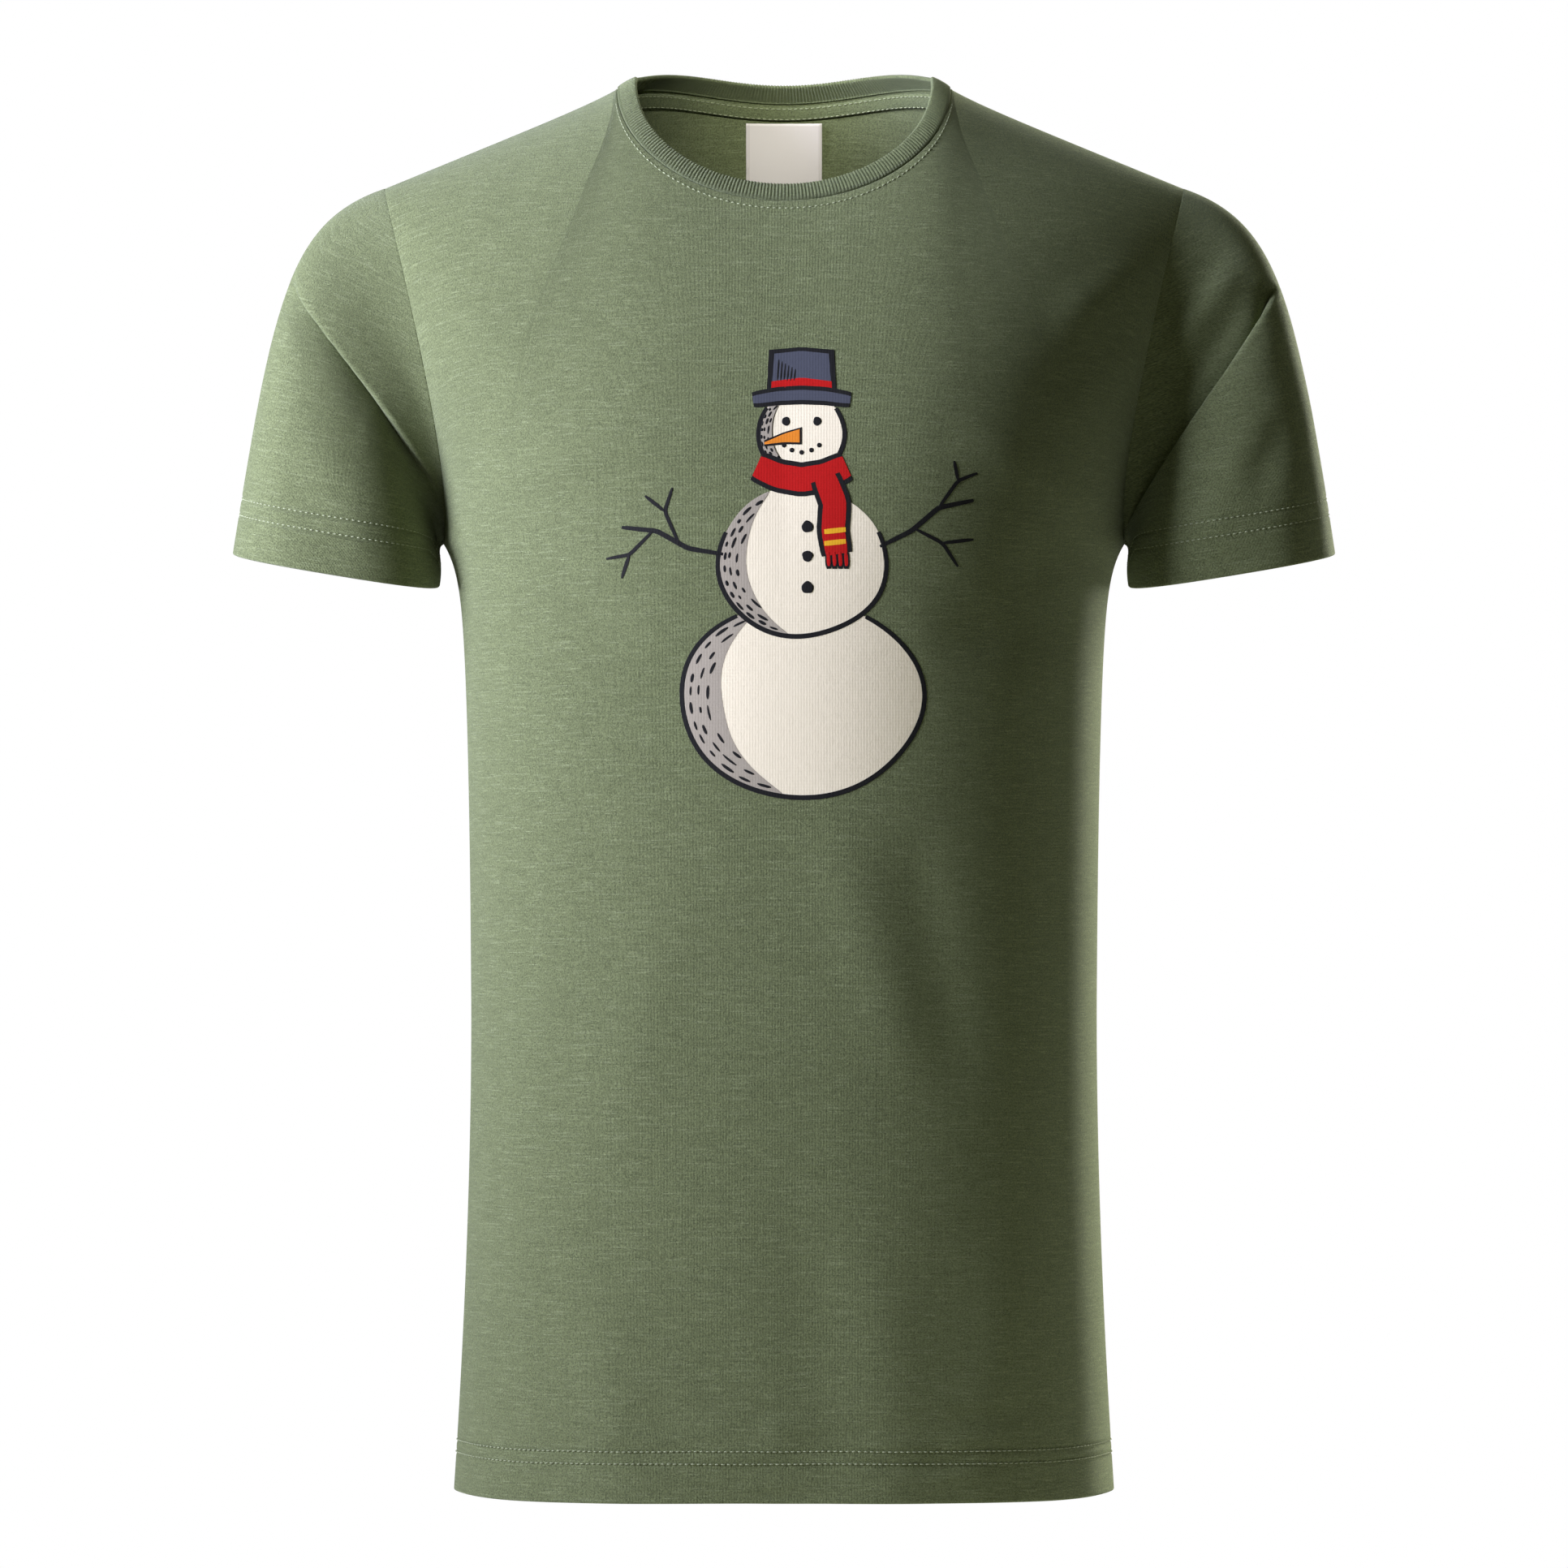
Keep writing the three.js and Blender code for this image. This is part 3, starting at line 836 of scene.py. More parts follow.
SLEEVE_FOLDS = {
    # start, end, width, height, as seen from the front with x taken as its size
    1: (
        ((236, -98), (206, -138), 8, 2.4),
        ((240, -118), (206, -162), 7, -2.0),
        ((240, -184), (218, -246), 15, 2.4),
        ((262, -176), (244, -214), 11, -2.0),
        ((272, -150), (284, -236), 12, 1.2),
    ),
    -1: (
        ((240, -184), (218, -246), 15, 1.6),
        ((262, -190), (246, -226), 11, -1.0),
    ),
}
FRONT_CREASE = {
    1: ((261, -104), (253, -128), (196, -196), (176, -240)),
    -1: ((260, -100), (250, -126), (182, -190), (171, -242)),
}
FRONT_LIP = 1.2
FRONT_HOLLOW = 4.6
BACK_LIP = 2.2
BACK_HOLLOW = 6.0
BACK_TUCK = 0.7 * TUCK
BACK_SOFTNESS = 0.6  # the soft folds are this much of their height behind
BACK_CREASE = ((252, -128), (236, -150), (196, -196), (178, -238))


def sleeve_drape(points, lengths, total, wearer_side):
    """All the folds of one sleeve, held still at the armhole seam."""
    normals = grid_normals(points, closed=True)
    ahead = smooth_step(0.0, 0.35, -normals[..., 1])
    behind = smooth_step(0.0, 0.35, normals[..., 1])
    side_x = np.abs(points[..., 0])
    soft = sum(ridge(side_x, points[..., 2], *fold) for fold in SLEEVE_FOLDS[wearer_side])
    move = normals * ((ahead + BACK_SOFTNESS * behind) * soft)[..., None]
    front_curve = FRONT_CREASE[wearer_side]
    move = move + crease(points, normals, ahead, front_curve, FRONT_LIP, FRONT_HOLLOW, TUCK, -wearer_side)
    move = move + crease(points, normals, behind, BACK_CREASE, BACK_LIP, BACK_HOLLOW, BACK_TUCK)
    held = 1 - np.exp(-(((total - lengths) / SEAM_HOLD) ** 2))
    return points + move * held[..., None]


# %% Build a sleeve
def sleeve_grid(wearer_side):
    """Points of a sleeve from the cuff to the armhole, and the length of cloth below each of them."""
    turn = -wearer_side * 2 * math.pi * np.arange(SLEEVE_STRINGS) / SLEEVE_STRINGS + math.pi
    dense = sleeve_strings(turn, np.linspace(1, 0, STRING_SAMPLES))
    dense[..., 0] *= wearer_side
    lengths = running_length(dense)
    total = lengths[-1] - SLEEVE_GAP
    zone_top = np.minimum(CUFF_ZONE, CUFF_ZONE_SHARE * total)
    zone = np.linspace(0, 1, HEM_ZONE_STEPS + 1)[:, None] * zone_top
    rest = np.linspace(0, 1, SLEEVE_STEPS + 1)[1:, None]
    wanted = np.concatenate([zone, zone_top + rest * (total - zone_top)])
    points = at_lengths(dense, lengths, wanted)
    return sleeve_drape(points, wanted, total, wearer_side), wanted, zone_top / CUFF_ZONE


def closed_map(points, first_outer_row):
    """The cloth map of a tube, with one more column than the grid, so that it can be laid flat."""
    around = looped(points)
    along = running_length(around)
    return np.stack([running_length(around, axis=1), along - along[first_outer_row]], axis=-1)


def build_sleeve(name, wearer_side, node):
    """One sleeve as a piece, with the grid that its stitches lie on."""
    points, lengths, squeeze = sleeve_grid(wearer_side)
    groove = stitch_groove(lengths / squeeze, CUFF_STITCH_ROWS)
    points = points + grid_normals(points, closed=True) * groove[..., None]
    hemmed = folded_hem(points, CUFF_INNER_ROWS, HEM_RADIUS, closed=True)
    sewn = turned_in(hemmed, SEAM_ALLOWANCE, closed=True)
    mesh = mesh_from_grid(name, sewn, closed_map(sewn, CUFF_INNER_ROWS + FOLD_ROWS), closed=True)
    piece = add_piece(mesh, jersey, JERSEY, (node,))
    print_cut(name, looped(sewn))
    return piece, points, lengths / squeeze


sleeve_left, left_points, left_lengths = build_sleeve("sleeve_left_cloth", 1, "sleeve_left")
sleeve_right, right_points, right_lengths = build_sleeve("sleeve_right_cloth", -1, "sleeve_right")

# %% [markdown]
# ## The neck rib
#
# The collar is a band of 1x1 rib: single columns of loops that stand up and single ones that lie back, so
# it stretches. The band is folded double along its length and sewn into the neck seam by both edges. Here
# its section is a profile, up the outside, round the fold and down the inside, carried along the collar
# seam. The ribs are a wave along the path, so they are real ridges.

# %% Collar path and rib section
RIB_COUNT = 300
COLUMNS_PER_RIB = 4
RIB_FOLD_RADIUS = 0.62
RIB_CLOTH = 0.7
RIB_RELIEF = 0.24
RIB_START = 1.2
NECK_AXIS = np.array([0.0, -5.0])


def collar_seam(turn):
    """The collar seam: 0 at the middle of the front, half a turn at the nape."""
    turn = np.mod(turn, 2 * math.pi)
    in_front = np.cos(turn) > 0
    x = NECK_HALF * np.sin(turn)
    front_z = -NECK_DROP * np.maximum(np.cos(turn), 0)
    back_z = NECK_RISE * np.sin(2 * (turn - math.pi / 2)) ** 2
    front, back = (torso_point(side, x / seam_half(z), z) for side, z in ((FRONT, front_z), (BACK, back_z)))
    return np.where(in_front[..., None], front, back)


def even_turns(count):
    """Turns at which points are spread evenly along the collar seam."""
    dense = np.linspace(0, 2 * math.pi, 4001)
    length = running_length(collar_seam(dense))
    return np.interp(np.arange(count) / count * length[-1], length, dense)


def collar_frame(turn):
    """Seam point, the way up the band and the way out of it, from the band's lean towards the neck."""
    seam = collar_seam(turn)
    inward = unit(NECK_AXIS - seam[..., :2])
    front = np.cos(turn / 2) ** 2
    lean = np.radians(38 * front + 46 * (1 - front) + 18 * np.sin(turn) ** 2)
    sine, cosine = np.sin(lean)[..., None], np.cos(lean)[..., None]
    upward = np.concatenate([inward * sine, cosine], axis=-1)
    outward = np.concatenate([-inward * cosine, sine], axis=-1)
    return seam, upward, outward


def rib_profile():
    """Reach up the band and distance out of it: allowance, outer face, fold, inner face, allowance."""
    r = RIB_FOLD_RADIUS
    top = RIB_WIDTH - r - RIB_CLOTH / 2
    climbing = np.linspace(RIB_START + 0.5, top, 9)
    puff = 0.35 * np.sin(math.pi * (climbing - RIB_START) / (top - RIB_START))
    turn = np.linspace(0, math.pi, 7)[1:-1]
    outer = np.stack([climbing, r + puff], axis=-1)
    fold = np.stack([top + r * np.sin(turn), r * np.cos(turn)], axis=-1)
    inner = np.stack([climbing, np.full(len(climbing), -r)], axis=-1)[::-1]
    tuck_out = np.array([[RIB_START, -0.9], [RIB_START, 0.1]])
    tuck_in = np.array([[RIB_START, -0.9], [RIB_START - 0.2, -1.3]])
    return np.concatenate([tuck_out, outer, fold, inner, tuck_in])


# %% Build the rib
def build_rib():
    """The rib as a piece: its profile along the seam, with a wave across for the columns."""
    turn = np.roll(even_turns(RIB_COUNT * COLUMNS_PER_RIB), RIB_COUNT * COLUMNS_PER_RIB // 3)
    seam, upward, outward = collar_frame(turn)
    profile = rib_profile()
    points = seam + upward * profile[:, None, :1] + outward * profile[:, None, 1:]
    wave = np.cos(2 * math.pi * np.arange(len(turn)) / COLUMNS_PER_RIB)
    share = smooth_step(0, 2.5, running_length(profile)[:, None] - 0.5)
    points = points + grid_normals(points, closed=True) * (RIB_RELIEF * wave * share)[..., None]
    mesh = mesh_from_grid("neck_rib_cloth", points, closed_map(points, 0), closed=True)
    piece = add_piece(mesh, rib_knit, RIB_CLOTH, ("neck_rib",))
    print_cut("neck_rib_cloth", looped(points))
    return piece


neck_rib = build_rib()

# %% [markdown]
# ## The tape and the label
#
# Inside the nape a narrow tape of the shirt's own jersey covers the seam, and a woven label hangs from
# it. Both follow the inside of the back panel at a small distance. The label is satin woven from fine
# cream thread, and it is left plain apart from a woven line along its edge.

# %% Points held off a panel, and the tape
TAPE_TOP = 1.5
TAPE_FOOT = 8
TAPE_THICKNESS = 0.5
TAPE_CLEAR = 1.8
TAPE_END = 0.24  # angle from the high shoulder point at which the tape ends
LABEL_HALF = 21
LABEL_TOP_Z = -9.5
LABEL_FOOT_Z = -52
LABEL_THICKNESS = 0.4
PROBE = 0.5


def panel_normal(side, across, z):
    """Outward normal of a torso panel, from its points a little to each side and above and below."""
    aside = PROBE / NECK_HALF
    sideways = torso_point(side, across + aside, z) - torso_point(side, across - aside, z)
    upwards = torso_point(side, across, z + PROBE) - torso_point(side, across, z - PROBE)
    return -side * unit(np.cross(sideways, upwards))


def off_panel(side, across, z, distance):
    """A point held off a panel's middle; a positive distance is outside the shirt."""
    return torso_point(side, across, z) + panel_normal(side, across, z) * np.asarray(distance)[..., None]


def tape_grid():
    """The tape from shoulder to shoulder along the back collar seam.

    Its section is a path of two numbers, the distance below the seam and the distance inside the panel:
    under at the foot, up over the face with a soft swell, and under again at the top.
    """
    angle = np.linspace(TAPE_END, math.pi - TAPE_END, 150)
    face = np.linspace(TAPE_FOOT, TAPE_TOP, 11)
    swell = 0.35 * np.sin(math.pi * (TAPE_FOOT - face) / (TAPE_FOOT - TAPE_TOP))
    under = np.array([[TAPE_TOP + 2, 1.1], [TAPE_TOP + 0.4, 1.1], [TAPE_TOP, 1.4]])
    foot = np.array([[TAPE_FOOT - 2, 1.1], [TAPE_FOOT - 0.4, 1.1], [TAPE_FOOT, 1.4]])
    section = np.concatenate([foot, np.stack([face, TAPE_CLEAR + swell], axis=-1), under[::-1]])
    seam_z = collar_z(BACK, angle)
    across = NECK_HALF * np.cos(angle) / seam_half(seam_z)
    return off_panel(BACK, across, seam_z - section[:, :1], -section[:, 1:] + 0 * angle)


tape_points = tape_grid()
tape_mesh = mesh_from_grid("neck_tape_cloth", tape_points, cloth_map_of(tape_points, 0))
neck_tape = add_piece(tape_mesh, rib_knit, TAPE_THICKNESS, ("neck_tape",))
print_cut("neck_tape_cloth", tape_points)


# %% The label
def woven_finish():
    """Satin weave: long floats of cream thread across fine warp, with a sheen of its own."""
    cloth = Finish("woven_label")
    u, v = cloth.cloth_map()
    float_row = cloth.maths("FRACT", v / 0.00035)
    warp = cloth.maths("FRACT", u / 0.0006)
    edge = LABEL_HALF * MM - 0.0022
    inset = cloth.maths("ABSOLUTE", u)
    line = cloth.smooth(inset, edge - 0.0002, edge) * cloth.smooth(inset, edge + 0.0008, edge + 0.0006)
    colour = cloth.blend(line * 0.55, (0.94, 0.87, 0.78), (0.78, 0.71, 0.62))
    shade = 0.9 + float_row * 0.12
    colour = cloth.blend(1.0, colour, cloth.vector(shade, shade, shade), "MULTIPLY")
    return cloth.surface(
        Base_Color=colour, Roughness=0.5, Sheen_Weight=0.15, Specular_IOR_Level=0.4,
        Normal=cloth.bump(float_row + warp * 0.5, 0.0001, 0.6),
    )


def label_grid():
    """The label's cloth, curling away from the panel at its foot as the square of the way down."""
    across = np.linspace(LABEL_HALF, -LABEL_HALF, 25) / SHOULDER_HALF
    down = np.linspace(1, 0, 31)[:, None]
    z = LABEL_TOP_Z + (LABEL_FOOT_Z - LABEL_TOP_Z) * down
    curl = 1.8 * down**2 + 0.35 * np.sin(across * 40) * down
    return off_panel(BACK, across, z, -TAPE_CLEAR - 0.9 - curl)


label_points = label_grid()
label_mesh = mesh_from_grid("neck_label_cloth", label_points, cloth_map_of(label_points, 0))
neck_label = add_piece(label_mesh, woven_finish(), LABEL_THICKNESS, ("neck_label",))
print_cut("neck_label_cloth", label_points)

# %% [markdown]
# ## Rows of thread
#
# Each stitch is a short piece of thread that comes up through the cloth, lies on it and goes down again.
# A stitch here is a small six-sided capsule bent over the cloth, and one function lays as many of them
# as fit along any path. All the stitches of a row are one mesh.

# %% Thread finish and stitches
STITCH = 2.1
STITCH_PITCH = 3.1
THREAD_RADIUS = 0.31
STITCH_SIDES = 6
STITCH_STATIONS = np.array([0.0, 0.14, 0.5, 0.86, 1.0])
STITCH_GIRTH = np.array([0.35, 0.9, 1.0, 0.9, 0.35])
STITCH_HEIGHT = np.array([-0.3, 0.08, 0.22, 0.08, -0.3])


def thread_finish():
    """Twisted cotton thread, dyed to go with the jersey: pale bands that run round it."""
    thread = Finish("sewing_thread")
    x, _, z = thread.parts(thread.place())
    twist = thread.maths("SINE", (x + z) * 9000.0)
    colour = thread.blend(0.5 + twist * 0.25, (0.23, 0.27, 0.13), (0.48, 0.52, 0.31))
    relief_of_twist = thread.bump(twist, 0.00005)
    return thread.surface(Base_Color=colour, Roughness=0.7, Sheen_Weight=0.1, Normal=relief_of_twist)


thread_material = thread_finish()


def stitch_mesh(name, rows):
    """A mesh of the stitches along every row; a row is its points on the cloth and their normals."""
    every_vertex = []
    for path, normal in rows:
        length = running_length(path)
        count = max(1, int(length[-1] / STITCH_PITCH))
        start = (np.arange(count) + 0.1) * length[-1] / count
        station = start[:, None] + STITCH * STITCH_STATIONS
        centre, out = (
            np.stack([np.interp(station, length, values[:, k]) for k in range(3)], axis=-1)
            for values in (path, normal)
        )
        onward = unit(np.gradient(centre, axis=1))
        aside = unit(np.cross(onward, out))
        angle = 2 * math.pi * np.arange(STITCH_SIDES) / STITCH_SIDES
        ring = aside[:, :, None] * np.cos(angle)[:, None] + unit(out)[:, :, None] * np.sin(angle)[:, None]
        lifted = centre + unit(out) * (JERSEY / 2 + STITCH_HEIGHT)[:, None]
        every_vertex.append(lifted[:, :, None] + ring * (THREAD_RADIUS * STITCH_GIRTH)[:, None, None])
    vertices = np.concatenate(every_vertex)
    index = np.arange(vertices.size // 3).reshape(vertices.shape[:3])
    beside = np.roll(index, -1, axis=2)
    sides = np.stack([index[:, :-1], beside[:, :-1], beside[:, 1:], index[:, 1:]], axis=-1)
    caps = index[:, 0, ::-1].tolist() + index[:, -1].tolist()
    return smooth_mesh(name, vertices, sides.reshape(-1, 4).tolist() + caps)


def row_on(points, lengths, at, closed=False):
    """The path of a row of stitches at a length up the cloth, with its normals."""
    wanted = np.full((1, points.shape[1]), float(at))
    normals = grid_normals(points, closed)
    path, out = at_lengths(points, lengths, wanted)[0], at_lengths(normals, lengths, wanted)[0]
    if closed:
        path, out = np.concatenate([path, path[:1]]), np.concatenate([out, out[:1]])
    return path, out


def collar_row(points, lengths, below, first, last):
    """A row of stitches on a panel a distance below its collar seam."""
    span = points[:, first:last]
    at = lengths[-1:, first:last] - below
    normals = grid_normals(points)[:, first:last]
    return at_lengths(span, lengths[:, first:last], at)[0], at_lengths(normals, lengths[:, first:last], at)[0]


def collar_columns(points):
    """First and last columns whose strings end on the collar seam."""
    on_collar = np.flatnonzero(np.abs(points[-1, :, 0]) < NECK_HALF - 0.5)
    return on_collar[0], on_collar[-1] + 1


# %% Sew the hems, the collar and the tape
TOPSTITCH = 4.2
TAPE_ROWS = (4, -5)  # rows of the tape's grid that its stitches follow
PANELS = ((front_points, front_lengths), (back_points, back_lengths))


def sew(name, rows):
    """Stitches along some rows, as a piece of thread."""
    return add_piece(stitch_mesh(name, rows), thread_material)


def sew_cuff(name, points, lengths):
    """The two rows round a sleeve's hem."""
    return sew(name, [row_on(points, lengths, at, closed=True) for at in CUFF_STITCH_ROWS])


hem_thread = sew("hem_thread", [row_on(*panel, at) for panel in PANELS for at in HEM_STITCH_ROWS])
sleeve_left_thread = sew_cuff("sleeve_left_thread", left_points, left_lengths)
sleeve_right_thread = sew_cuff("sleeve_right_thread", right_points, right_lengths)
collar_rows = [collar_row(*panel, TOPSTITCH, *collar_columns(panel[0])) for panel in PANELS]
collar_thread = sew("collar_thread", collar_rows)
tape_out = -grid_normals(tape_points)
tape_thread = sew("tape_thread", [(tape_points[row], tape_out[row]) for row in TAPE_ROWS])

# %% [markdown]
# ## The print on the chest
#
# The print is a transfer film: flat shapes of ink, pressed on one over the other. Its motif is a plain
# snowman, drawn with a black outline. Every shape is a small grid in the plane of the picture, a filled
# oval or a stroke along a path. The grid is then lifted on to the chest, to the height of its layer, so
# the film bends with the cloth and keeps out of it.

# %% Picture shapes: ovals, strokes, crescents and strips
LAYER = 0.03
FILM = 0.05
FILM_CLEAR = 0.06
PRINT_X = 9
OUTLINE = 2.5
SNOWBALLS = ((-324, 62, 50), (-254, 43, 38), (-188, 22, 22))  # middle, half width, half height


def wander(angle, wobble, phase):
    """How far a drawn rim strays from its oval: two slow waves round it."""
    return 1 + wobble * (np.sin(3 * angle + phase) + 0.6 * np.sin(5 * angle + 2 * phase))


def refined(path, step=2.5, least=3):
    """The same path with a point every step, and at least a few."""
    path = np.array(path, float)
    length = running_length(path)
    even = np.linspace(0, length[-1], max(least, int(length[-1] / step)))
    return np.stack([np.interp(even, length, path[:, k]) for k in range(2)], axis=-1)


def oval(x, z, half_width, half_height, cells=20, wobble=0.0, phase=0.0):
    """A square grid pressed into an oval, so that it has no pole; its rim wanders a little."""
    u, v = np.meshgrid(np.linspace(-1, 1, cells), np.linspace(-1, 1, cells))
    flat_x, flat_z = u * np.sqrt(1 - v * v / 2), v * np.sqrt(1 - u * u / 2)
    rim = wander(np.arctan2(flat_z, flat_x), wobble, phase)
    return np.stack([x + half_width * flat_x * rim, z + half_height * flat_z * rim], axis=-1)


def stroke(path, width, ends=0.5, cells=5):
    """A band along a path; its width swells like a root of a sine, from the share at the ends."""
    line = refined(path, step=2.2, least=6)
    onward = unit(np.gradient(line, axis=0))
    aside = np.stack([-onward[:, 1], onward[:, 0]], axis=-1)
    share = np.linspace(0, 1, len(line))
    half = width / 2 * (ends + (1 - ends) * np.sin(math.pi * share) ** 0.4)
    offset = np.linspace(1, -1, cells)[None, :, None]
    return line[:, None] + aside[:, None] * half[:, None, None] * offset


def pen_line(path, width, ends):
    """A stroke along a path of a few points."""
    return stroke(refined(path), width, ends)


def arc(x, z, half_width, half_height, start, end, wobble=0.0, phase=0.0, count=80):
    """Points on an oval from one angle to another, in degrees from +X, with the rim's wander."""
    angle = np.radians(np.linspace(start, end, count))
    rim = wander(angle, wobble, phase)
    return np.stack([x + half_width * rim * np.cos(angle), z + half_height * rim * np.sin(angle)], axis=-1)


def crescent(x, z, half_width, half_height, start, end, depth, wobble, phase):
    """The shaded side of a ball: from its rim inwards by a sine of the way along."""
    rim = arc(x, z, half_width, half_height, start, end, wobble, phase)
    way = np.linspace(0, 1, len(rim))[:, None]
    inner = np.array([x, z]) + (rim - [x, z]) * (1 - depth * np.sin(math.pi * way) ** 0.7)
    share = np.linspace(1, 0, 9)[None, :, None]
    return rim[:, None] + (inner - rim)[:, None] * share


def strip(lower, upper, cells=6):
    """A grid between two paths of the same number of points."""
    lower, upper = np.array(lower, float), np.array(upper, float)
    share = np.linspace(0, 1, cells)[:, None, None]
    return lower + (upper - lower) * share


def film_mesh(name, shapes):
    """One mesh of picture shapes, each with its layer, laid on the front panel's outer face."""
    vertices, first, faces = [], 0, []
    for layer, shape in shapes:
        x, z = shape[..., 0] + PRINT_X, shape[..., 1]
        distance = JERSEY / 2 + FILM_CLEAR + layer * LAYER
        points = off_panel(FRONT, x / seam_half(z), z, distance)
        if np.sum(grid_normals(points)[..., 1]) > 0:
            points = points[:, ::-1]
        rows, columns = points.shape[:2]
        index = first + np.arange(rows * columns).reshape(rows, columns)
        faces.append(corners(index).reshape(-1, 4))
        vertices.append(points.reshape(-1, 3))
        first += rows * columns
    return smooth_mesh(name, np.concatenate(vertices), np.concatenate(faces).tolist())


# %% [markdown]
# Ink on jersey is not a flat colour. It takes up the relief of the knit under it, it is a touch thinner in
#  random patches, and it is smoother than the cloth.


# %% Ink finishes
def ink_finish(name, colour, worn):
    """Matte ink: the knit shows through as relief, and as a faint change of shade."""
    ink = Finish(name)
    x, _, z = ink.parts(ink.place())
    course = ink.maths("SINE", z * (2 * math.pi / COURSE))
    wale = ink.maths("SINE", x * (2 * math.pi / WALE))
    patch = ink.noise(ink.vector(x, z), scale=160.0, detail=3.0)
    rub = ink.smooth(patch, 0.56, 0.74) * 0.22
    shade = ink.blend(rub, colour, worn)
    return ink.surface(
        Base_Color=shade, Roughness=0.7, Specular_IOR_Level=0.15,
        Normal=ink.bump(course * 0.5 + wale * 0.4 + patch, 0.00012, 0.6),
    )


INKS = {
    "black": ink_finish("black_ink", (0.012, 0.012, 0.011), (0.03, 0.034, 0.025)),
    "snow": ink_finish("cream_ink", (0.98, 0.89, 0.62), (0.92, 0.84, 0.58)),
    "shade": ink_finish("grey_ink", (0.42, 0.375, 0.28), (0.38, 0.35, 0.27)),
    "red": ink_finish("red_ink", (0.52, 0.008, 0.006), (0.42, 0.01, 0.008)),
    "ochre": ink_finish("ochre_ink", (0.88, 0.46, 0.02), (0.72, 0.38, 0.03)),
    "slate": ink_finish("slate_ink", (0.075, 0.082, 0.1), (0.062, 0.07, 0.085)),
    "orange": ink_finish("orange_ink", (0.82, 0.26, 0.022), (0.7, 0.23, 0.03)),
}

# %% [markdown]
# The outlines are drawn by an unsteady hand. So every oval has a slow wander in its rim, and the shading
# is rows of short dashes that follow the rim, as a pen leaves them.

# %% Draw the snowman
WOBBLES = (0.012, 0.014, 0.016)
PHASES = (0.6, 2.1, 4.0)
BALL_ARCS = ((-238, 58), (-204, 24), (-216, 36))  # where each ball's outline shows, in degrees
DASH_ROWS = ((0.07, 118, 256, 13), (0.14, 130, 246, 9), (0.22, 150, 236, 5))  # inset, angles, count
random = np.random.default_rng(7)


def dashes(ball, wobble, phase, inset, start, end, count, width):
    """Short pen dashes along an oval inside a ball's rim, with gaps and lengths drawn at random."""
    x, z, half_width, half_height = ball
    edges = np.linspace(start, end, count + 1)
    marks = []
    for low, high in zip(edges[:-1], edges[1:]):
        begin, finish = low + (high - low) * random.uniform([0.0, 0.55], [0.3, 0.9])
        depth = inset + random.uniform(-0.012, 0.012)
        inner = (x, z, half_width * (1 - depth), half_height * (1 - depth))
        path = arc(*inner, begin, finish, wobble, phase, 12)
        marks.append((4, stroke(path, width * random.uniform(0.7, 1.15), ends=0.35, cells=3)))
    return marks


def ball_shapes():
    """Cream, shade and black shapes of the three balls, from the lowest to the head."""
    cream, grey, black = [], [], []
    for layer, ((z, half_width, half_height), wobble, phase, (start, end)) in enumerate(
        zip(SNOWBALLS, WOBBLES, PHASES, BALL_ARCS)
    ):
        ball = (0, z, half_width, half_height)
        cream.append((layer * 0.4, oval(*ball, cells=34, wobble=wobble, phase=phase)))
        grey.append((2 + layer * 0.4, crescent(*ball, 112, 262, 0.34, wobble, phase)))
        black.append((3, stroke(arc(*ball, start, end, wobble, phase, 160), OUTLINE, ends=0.8)))
        pen = 1.15 if half_width < 30 else 1.5
        for row_of_dashes in DASH_ROWS:
            black += dashes(ball, wobble, phase, *row_of_dashes, pen)
    return cream, grey, black


def twig(points, branches):
    """An arm: a crooked stroke with a few finer ones growing from it."""
    return [(3, pen_line(points, 2.6, 0.55))] + [(3, pen_line(branch, 1.9, 0.5)) for branch in branches]


cream, grey, black = ball_shapes()
black += twig(((-40, -250), (-58, -247), (-74, -238), (-92, -236)),
              (((-62, -246), (-70, -228), (-66, -216)), ((-76, -238), (-88, -250), (-100, -252)),
               ((-70, -228), (-80, -220)), ((-88, -250), (-92, -262))))
black += twig(((40, -246), (56, -238), (70, -226), (88, -222)),
              (((58, -237), (72, -244), (80, -256)), ((70, -226), (80, -212), (90, -208)),
               ((72, -244), (88, -242)), ((80, -212), (78, -202))))
for button_z, size in ((-236, 3.0), (-251, 2.8), (-267, 3.1)):
    black.append((5, oval(3, button_z, size, size, 9, 0.05, button_z)))
for eye_x in (-8, 8):
    black.append((5, oval(eye_x, -182, 2.1, 2.3, 7, 0.04, eye_x)))
for mouth_x in (-9, -5, 0, 5, 9):
    black.append((5, oval(mouth_x, -198 + mouth_x**2 / 22, 1.2, 1.2, 6)))

# %% Dress the snowman
SCARF_LINE = ((-23, -205), (-12, -210), (0, -212), (12, -210), (23, -205))
SCARF_TAIL = ((12, -211), (17, -224), (16, -238), (18, -250))
SCARF_WIDTH = 12.5
TAIL_WIDTH = 12
red = [(6, pen_line(SCARF_LINE, SCARF_WIDTH, 0.86)), (8, pen_line(SCARF_TAIL, TAIL_WIDTH, 0.9))]
black.append((5, pen_line(SCARF_LINE, SCARF_WIDTH + 2 * OUTLINE, 0.88)))
black.append((7, pen_line(SCARF_TAIL, TAIL_WIDTH + 2 * OUTLINE, 0.92)))
ochre = [(9, pen_line(((11.5, z - 0.6), (17, z), (22.5, z + 0.6)), 2.6, 0.9)) for z in (-238, -244)]
for fringe_x in (13.5, 16.5, 19.5, 22.5):
    red.append((8, pen_line(((fringe_x, -249), (fringe_x + 0.4, -256)), 1.9, 0.6)))
    black.append((7, pen_line(((fringe_x, -248), (fringe_x + 0.4, -257.5)), 3.6, 0.6)))

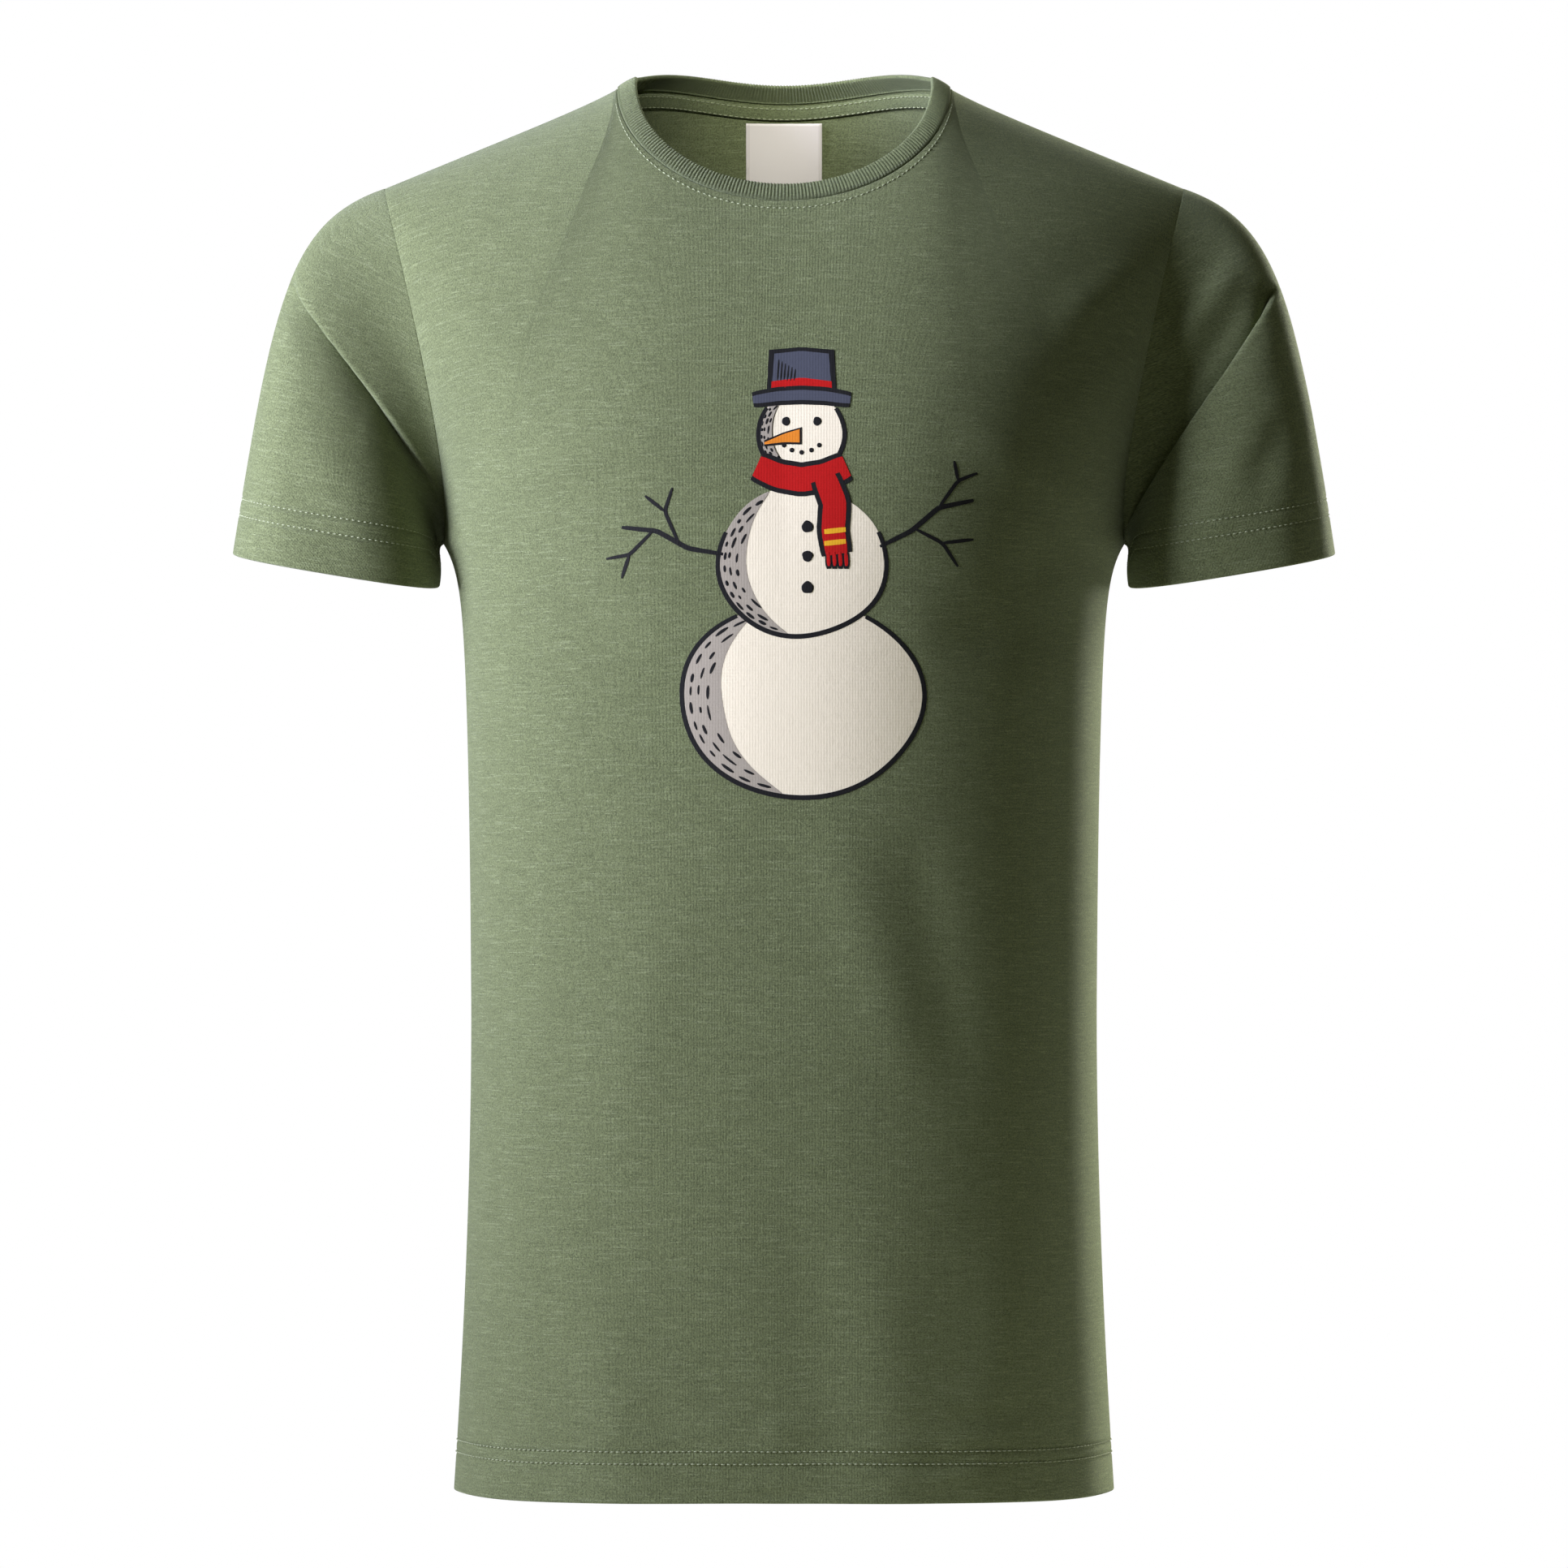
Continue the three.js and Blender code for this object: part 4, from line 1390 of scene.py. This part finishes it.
BRIM_WIDTH = 5.2
BRIM = ((-25, -171), (-12, -169), (0, -168.4), (12, -169), (25, -171))
crown_foot = refined(((-15.5, -168), (0, -166), (15.5, -168)))
edge = refined(((-14, -147), (0, -145.5), (14, -147)))[: len(crown_foot)]
crown_top = np.stack([np.interp(crown_foot[:, 0] * 0.9, edge[:, 0], edge[:, k]) for k in (0, 1)], axis=-1)
slate = [(6, strip(crown_foot, crown_top, 10)), (8, pen_line(BRIM, BRIM_WIDTH, 0.7))]
grown = np.array([0, OUTLINE * 0.8])
black.append((5, strip((crown_foot - grown) * [1.16, 1], crown_top * [1.2, 1] + grown, 10)))
black.append((7, pen_line(BRIM, BRIM_WIDTH + 1.8 * OUTLINE, 0.78)))
band_foot, band_top = crown_foot + [0, 2.6], crown_foot * [0.99, 1] + [0, 6.6]
red.append((6.5, strip(band_foot, band_top, 4)))
for hatch in range(6):
    hatch_x = -12.4 + 1.7 * hatch
    black.append((7, pen_line(((hatch_x, -161), (hatch_x + 0.8, -150 - hatch)), 0.9, 0.4)))

NOSE = ((-1, -189.5), (-9, -190.6), (-19, -193.4))
nose_line = refined(NOSE)
share = np.linspace(0, 1, len(nose_line))[:, None]
nose_half = np.array([0, 1]) * (2.9 * (1 - share) + 0.5)
nose_rim = nose_half + [0, 1.1]
longer_line = nose_line * [1.07, 1] + [1.2, 0]
orange = [(6, strip(nose_line - nose_half, nose_line + nose_half))]
black.append((5, strip(longer_line - nose_rim, longer_line + nose_rim)))

# %% Press the print on to the chest
PRINT_SHAPES = {
    "snow": cream, "shade": grey, "black": black, "red": red,
    "ochre": ochre, "slate": slate, "orange": orange,
}
for ink_name, shapes in PRINT_SHAPES.items():
    node = ("chest_print",) if ink_name == "snow" else ()
    film = add_piece(film_mesh("print_" + ink_name, shapes), INKS[ink_name], FILM, node)
    # the wide faces set the shading at the rim, so the film looks flat right up to its edge
    film.modifiers.new("flat_to_the_edge", "WEIGHTED_NORMAL")

# %% [markdown]
#
# Each cloth piece prints the longest row and column of its grid and its area, with the hems and seam
#  allowances, rounded.

# %% [markdown]
# ## Studio
#
# A product picture of dark cloth on white needs its light on the cloth and not on the background. A broad
# soft light stands at the left in front, which leaves the right side dark. A narrow one stands behind at
# the right and draws a bright edge round the sleeve. A weak light hangs above, and a narrow spot reaches
# over the collar into the nape. The world is white to the camera but dim as a light.


# %% Floor, lights and world
FLOOR_Z = -0.95
FLOOR_RADIUS = 1.3


def floor_mesh():
    """A flat disc of rings of points by radius and angle, with a small hole at the middle."""
    radius = np.linspace(0.02, 1, 12)[:, None] * FLOOR_RADIUS / MM
    angle = 2 * math.pi * np.arange(96) / 96
    points = np.stack([radius * np.cos(angle), radius * np.sin(angle), FLOOR_Z / MM + 0 * radius * angle], -1)
    return mesh_from_grid("studio_floor", points[::-1], closed=True)


def floor_finish():
    """Pale matt card with a very faint mottle."""
    card = Finish("pale_card")
    mottle = card.noise(card.place(), scale=9.0)
    tone = card.blend(mottle, (0.82, 0.82, 0.81), (0.88, 0.88, 0.87))
    return card.surface(Base_Color=tone, Roughness=0.7)


floor = bpy.data.objects.new("studio_floor", floor_mesh())
floor.data.materials.append(floor_finish())
SCENE.collection.objects.link(floor)


def area_light(name, place, aim, width, height, power, colour=(1, 1, 1), spread=180):
    """A rectangular light turned towards a point, with its beam narrowed to the spread in degrees."""
    light = bpy.data.objects.new(name, bpy.data.lights.new(name, "AREA"))
    light.data.shape = "RECTANGLE"
    light.data.size, light.data.size_y = width, height
    light.data.energy = power
    light.data.color = colour
    light.data.spread = math.radians(spread)
    light.location = place
    light.rotation_euler = (Vector(aim) - Vector(place)).to_track_quat("-Z", "Y").to_euler()
    SCENE.collection.objects.link(light)


area_light("key", (-1.46, -0.64, 0.26), (-0.1, 0, 0.3), 0.75, 1.3, 29, (0.98, 1.0, 1.34), spread=102)
area_light("rim", (1.25, 1.68, 0.25), (0.15, 0, -0.25), 0.4, 1.3, 88, (1.0, 1.0, 0.88))
area_light("top", (0.3, 0.2, 1.6), (0, 0, -0.2), 1.0, 1.0, 4)


def inside_light():
    """A narrow soft spot from the front, over the collar to the inside of the nape."""
    light = bpy.data.objects.new("nape", bpy.data.lights.new("nape", "SPOT"))
    light.data.energy = 72
    light.data.spot_size = math.radians(7.6)
    light.data.spot_blend = 0.8
    light.data.shadow_soft_size = 0.05
    light.location = (0, -1.2, 0.35)
    aim = Vector((0, 0.09, 0.0)) - Vector(light.location)
    light.rotation_euler = aim.to_track_quat("-Z", "Y").to_euler()
    SCENE.collection.objects.link(light)


inside_light()


def white_world(ambient):
    """White where the camera sees it, and a dim even light everywhere else."""
    world = bpy.data.worlds.new("studio")
    world.use_nodes = True
    tree = world.node_tree
    seen = tree.nodes.new("ShaderNodeLightPath").outputs["Is Camera Ray"]
    lit = tree.nodes["Background"]
    lit.inputs[0].default_value = (ambient, ambient, 0.65 * ambient, 1)
    white = tree.nodes.new("ShaderNodeBackground")
    white.inputs[0].default_value = (1, 1, 1, 1)
    either = tree.nodes.new("ShaderNodeMixShader")
    for output, place in ((seen, 0), (lit.outputs[0], 1), (white.outputs[0], 2)):
        tree.links.new(output, either.inputs[place])
    tree.links.new(either.outputs[0], tree.nodes["World Output"].inputs[0])
    return world


SCENE.world = white_world(0.063)
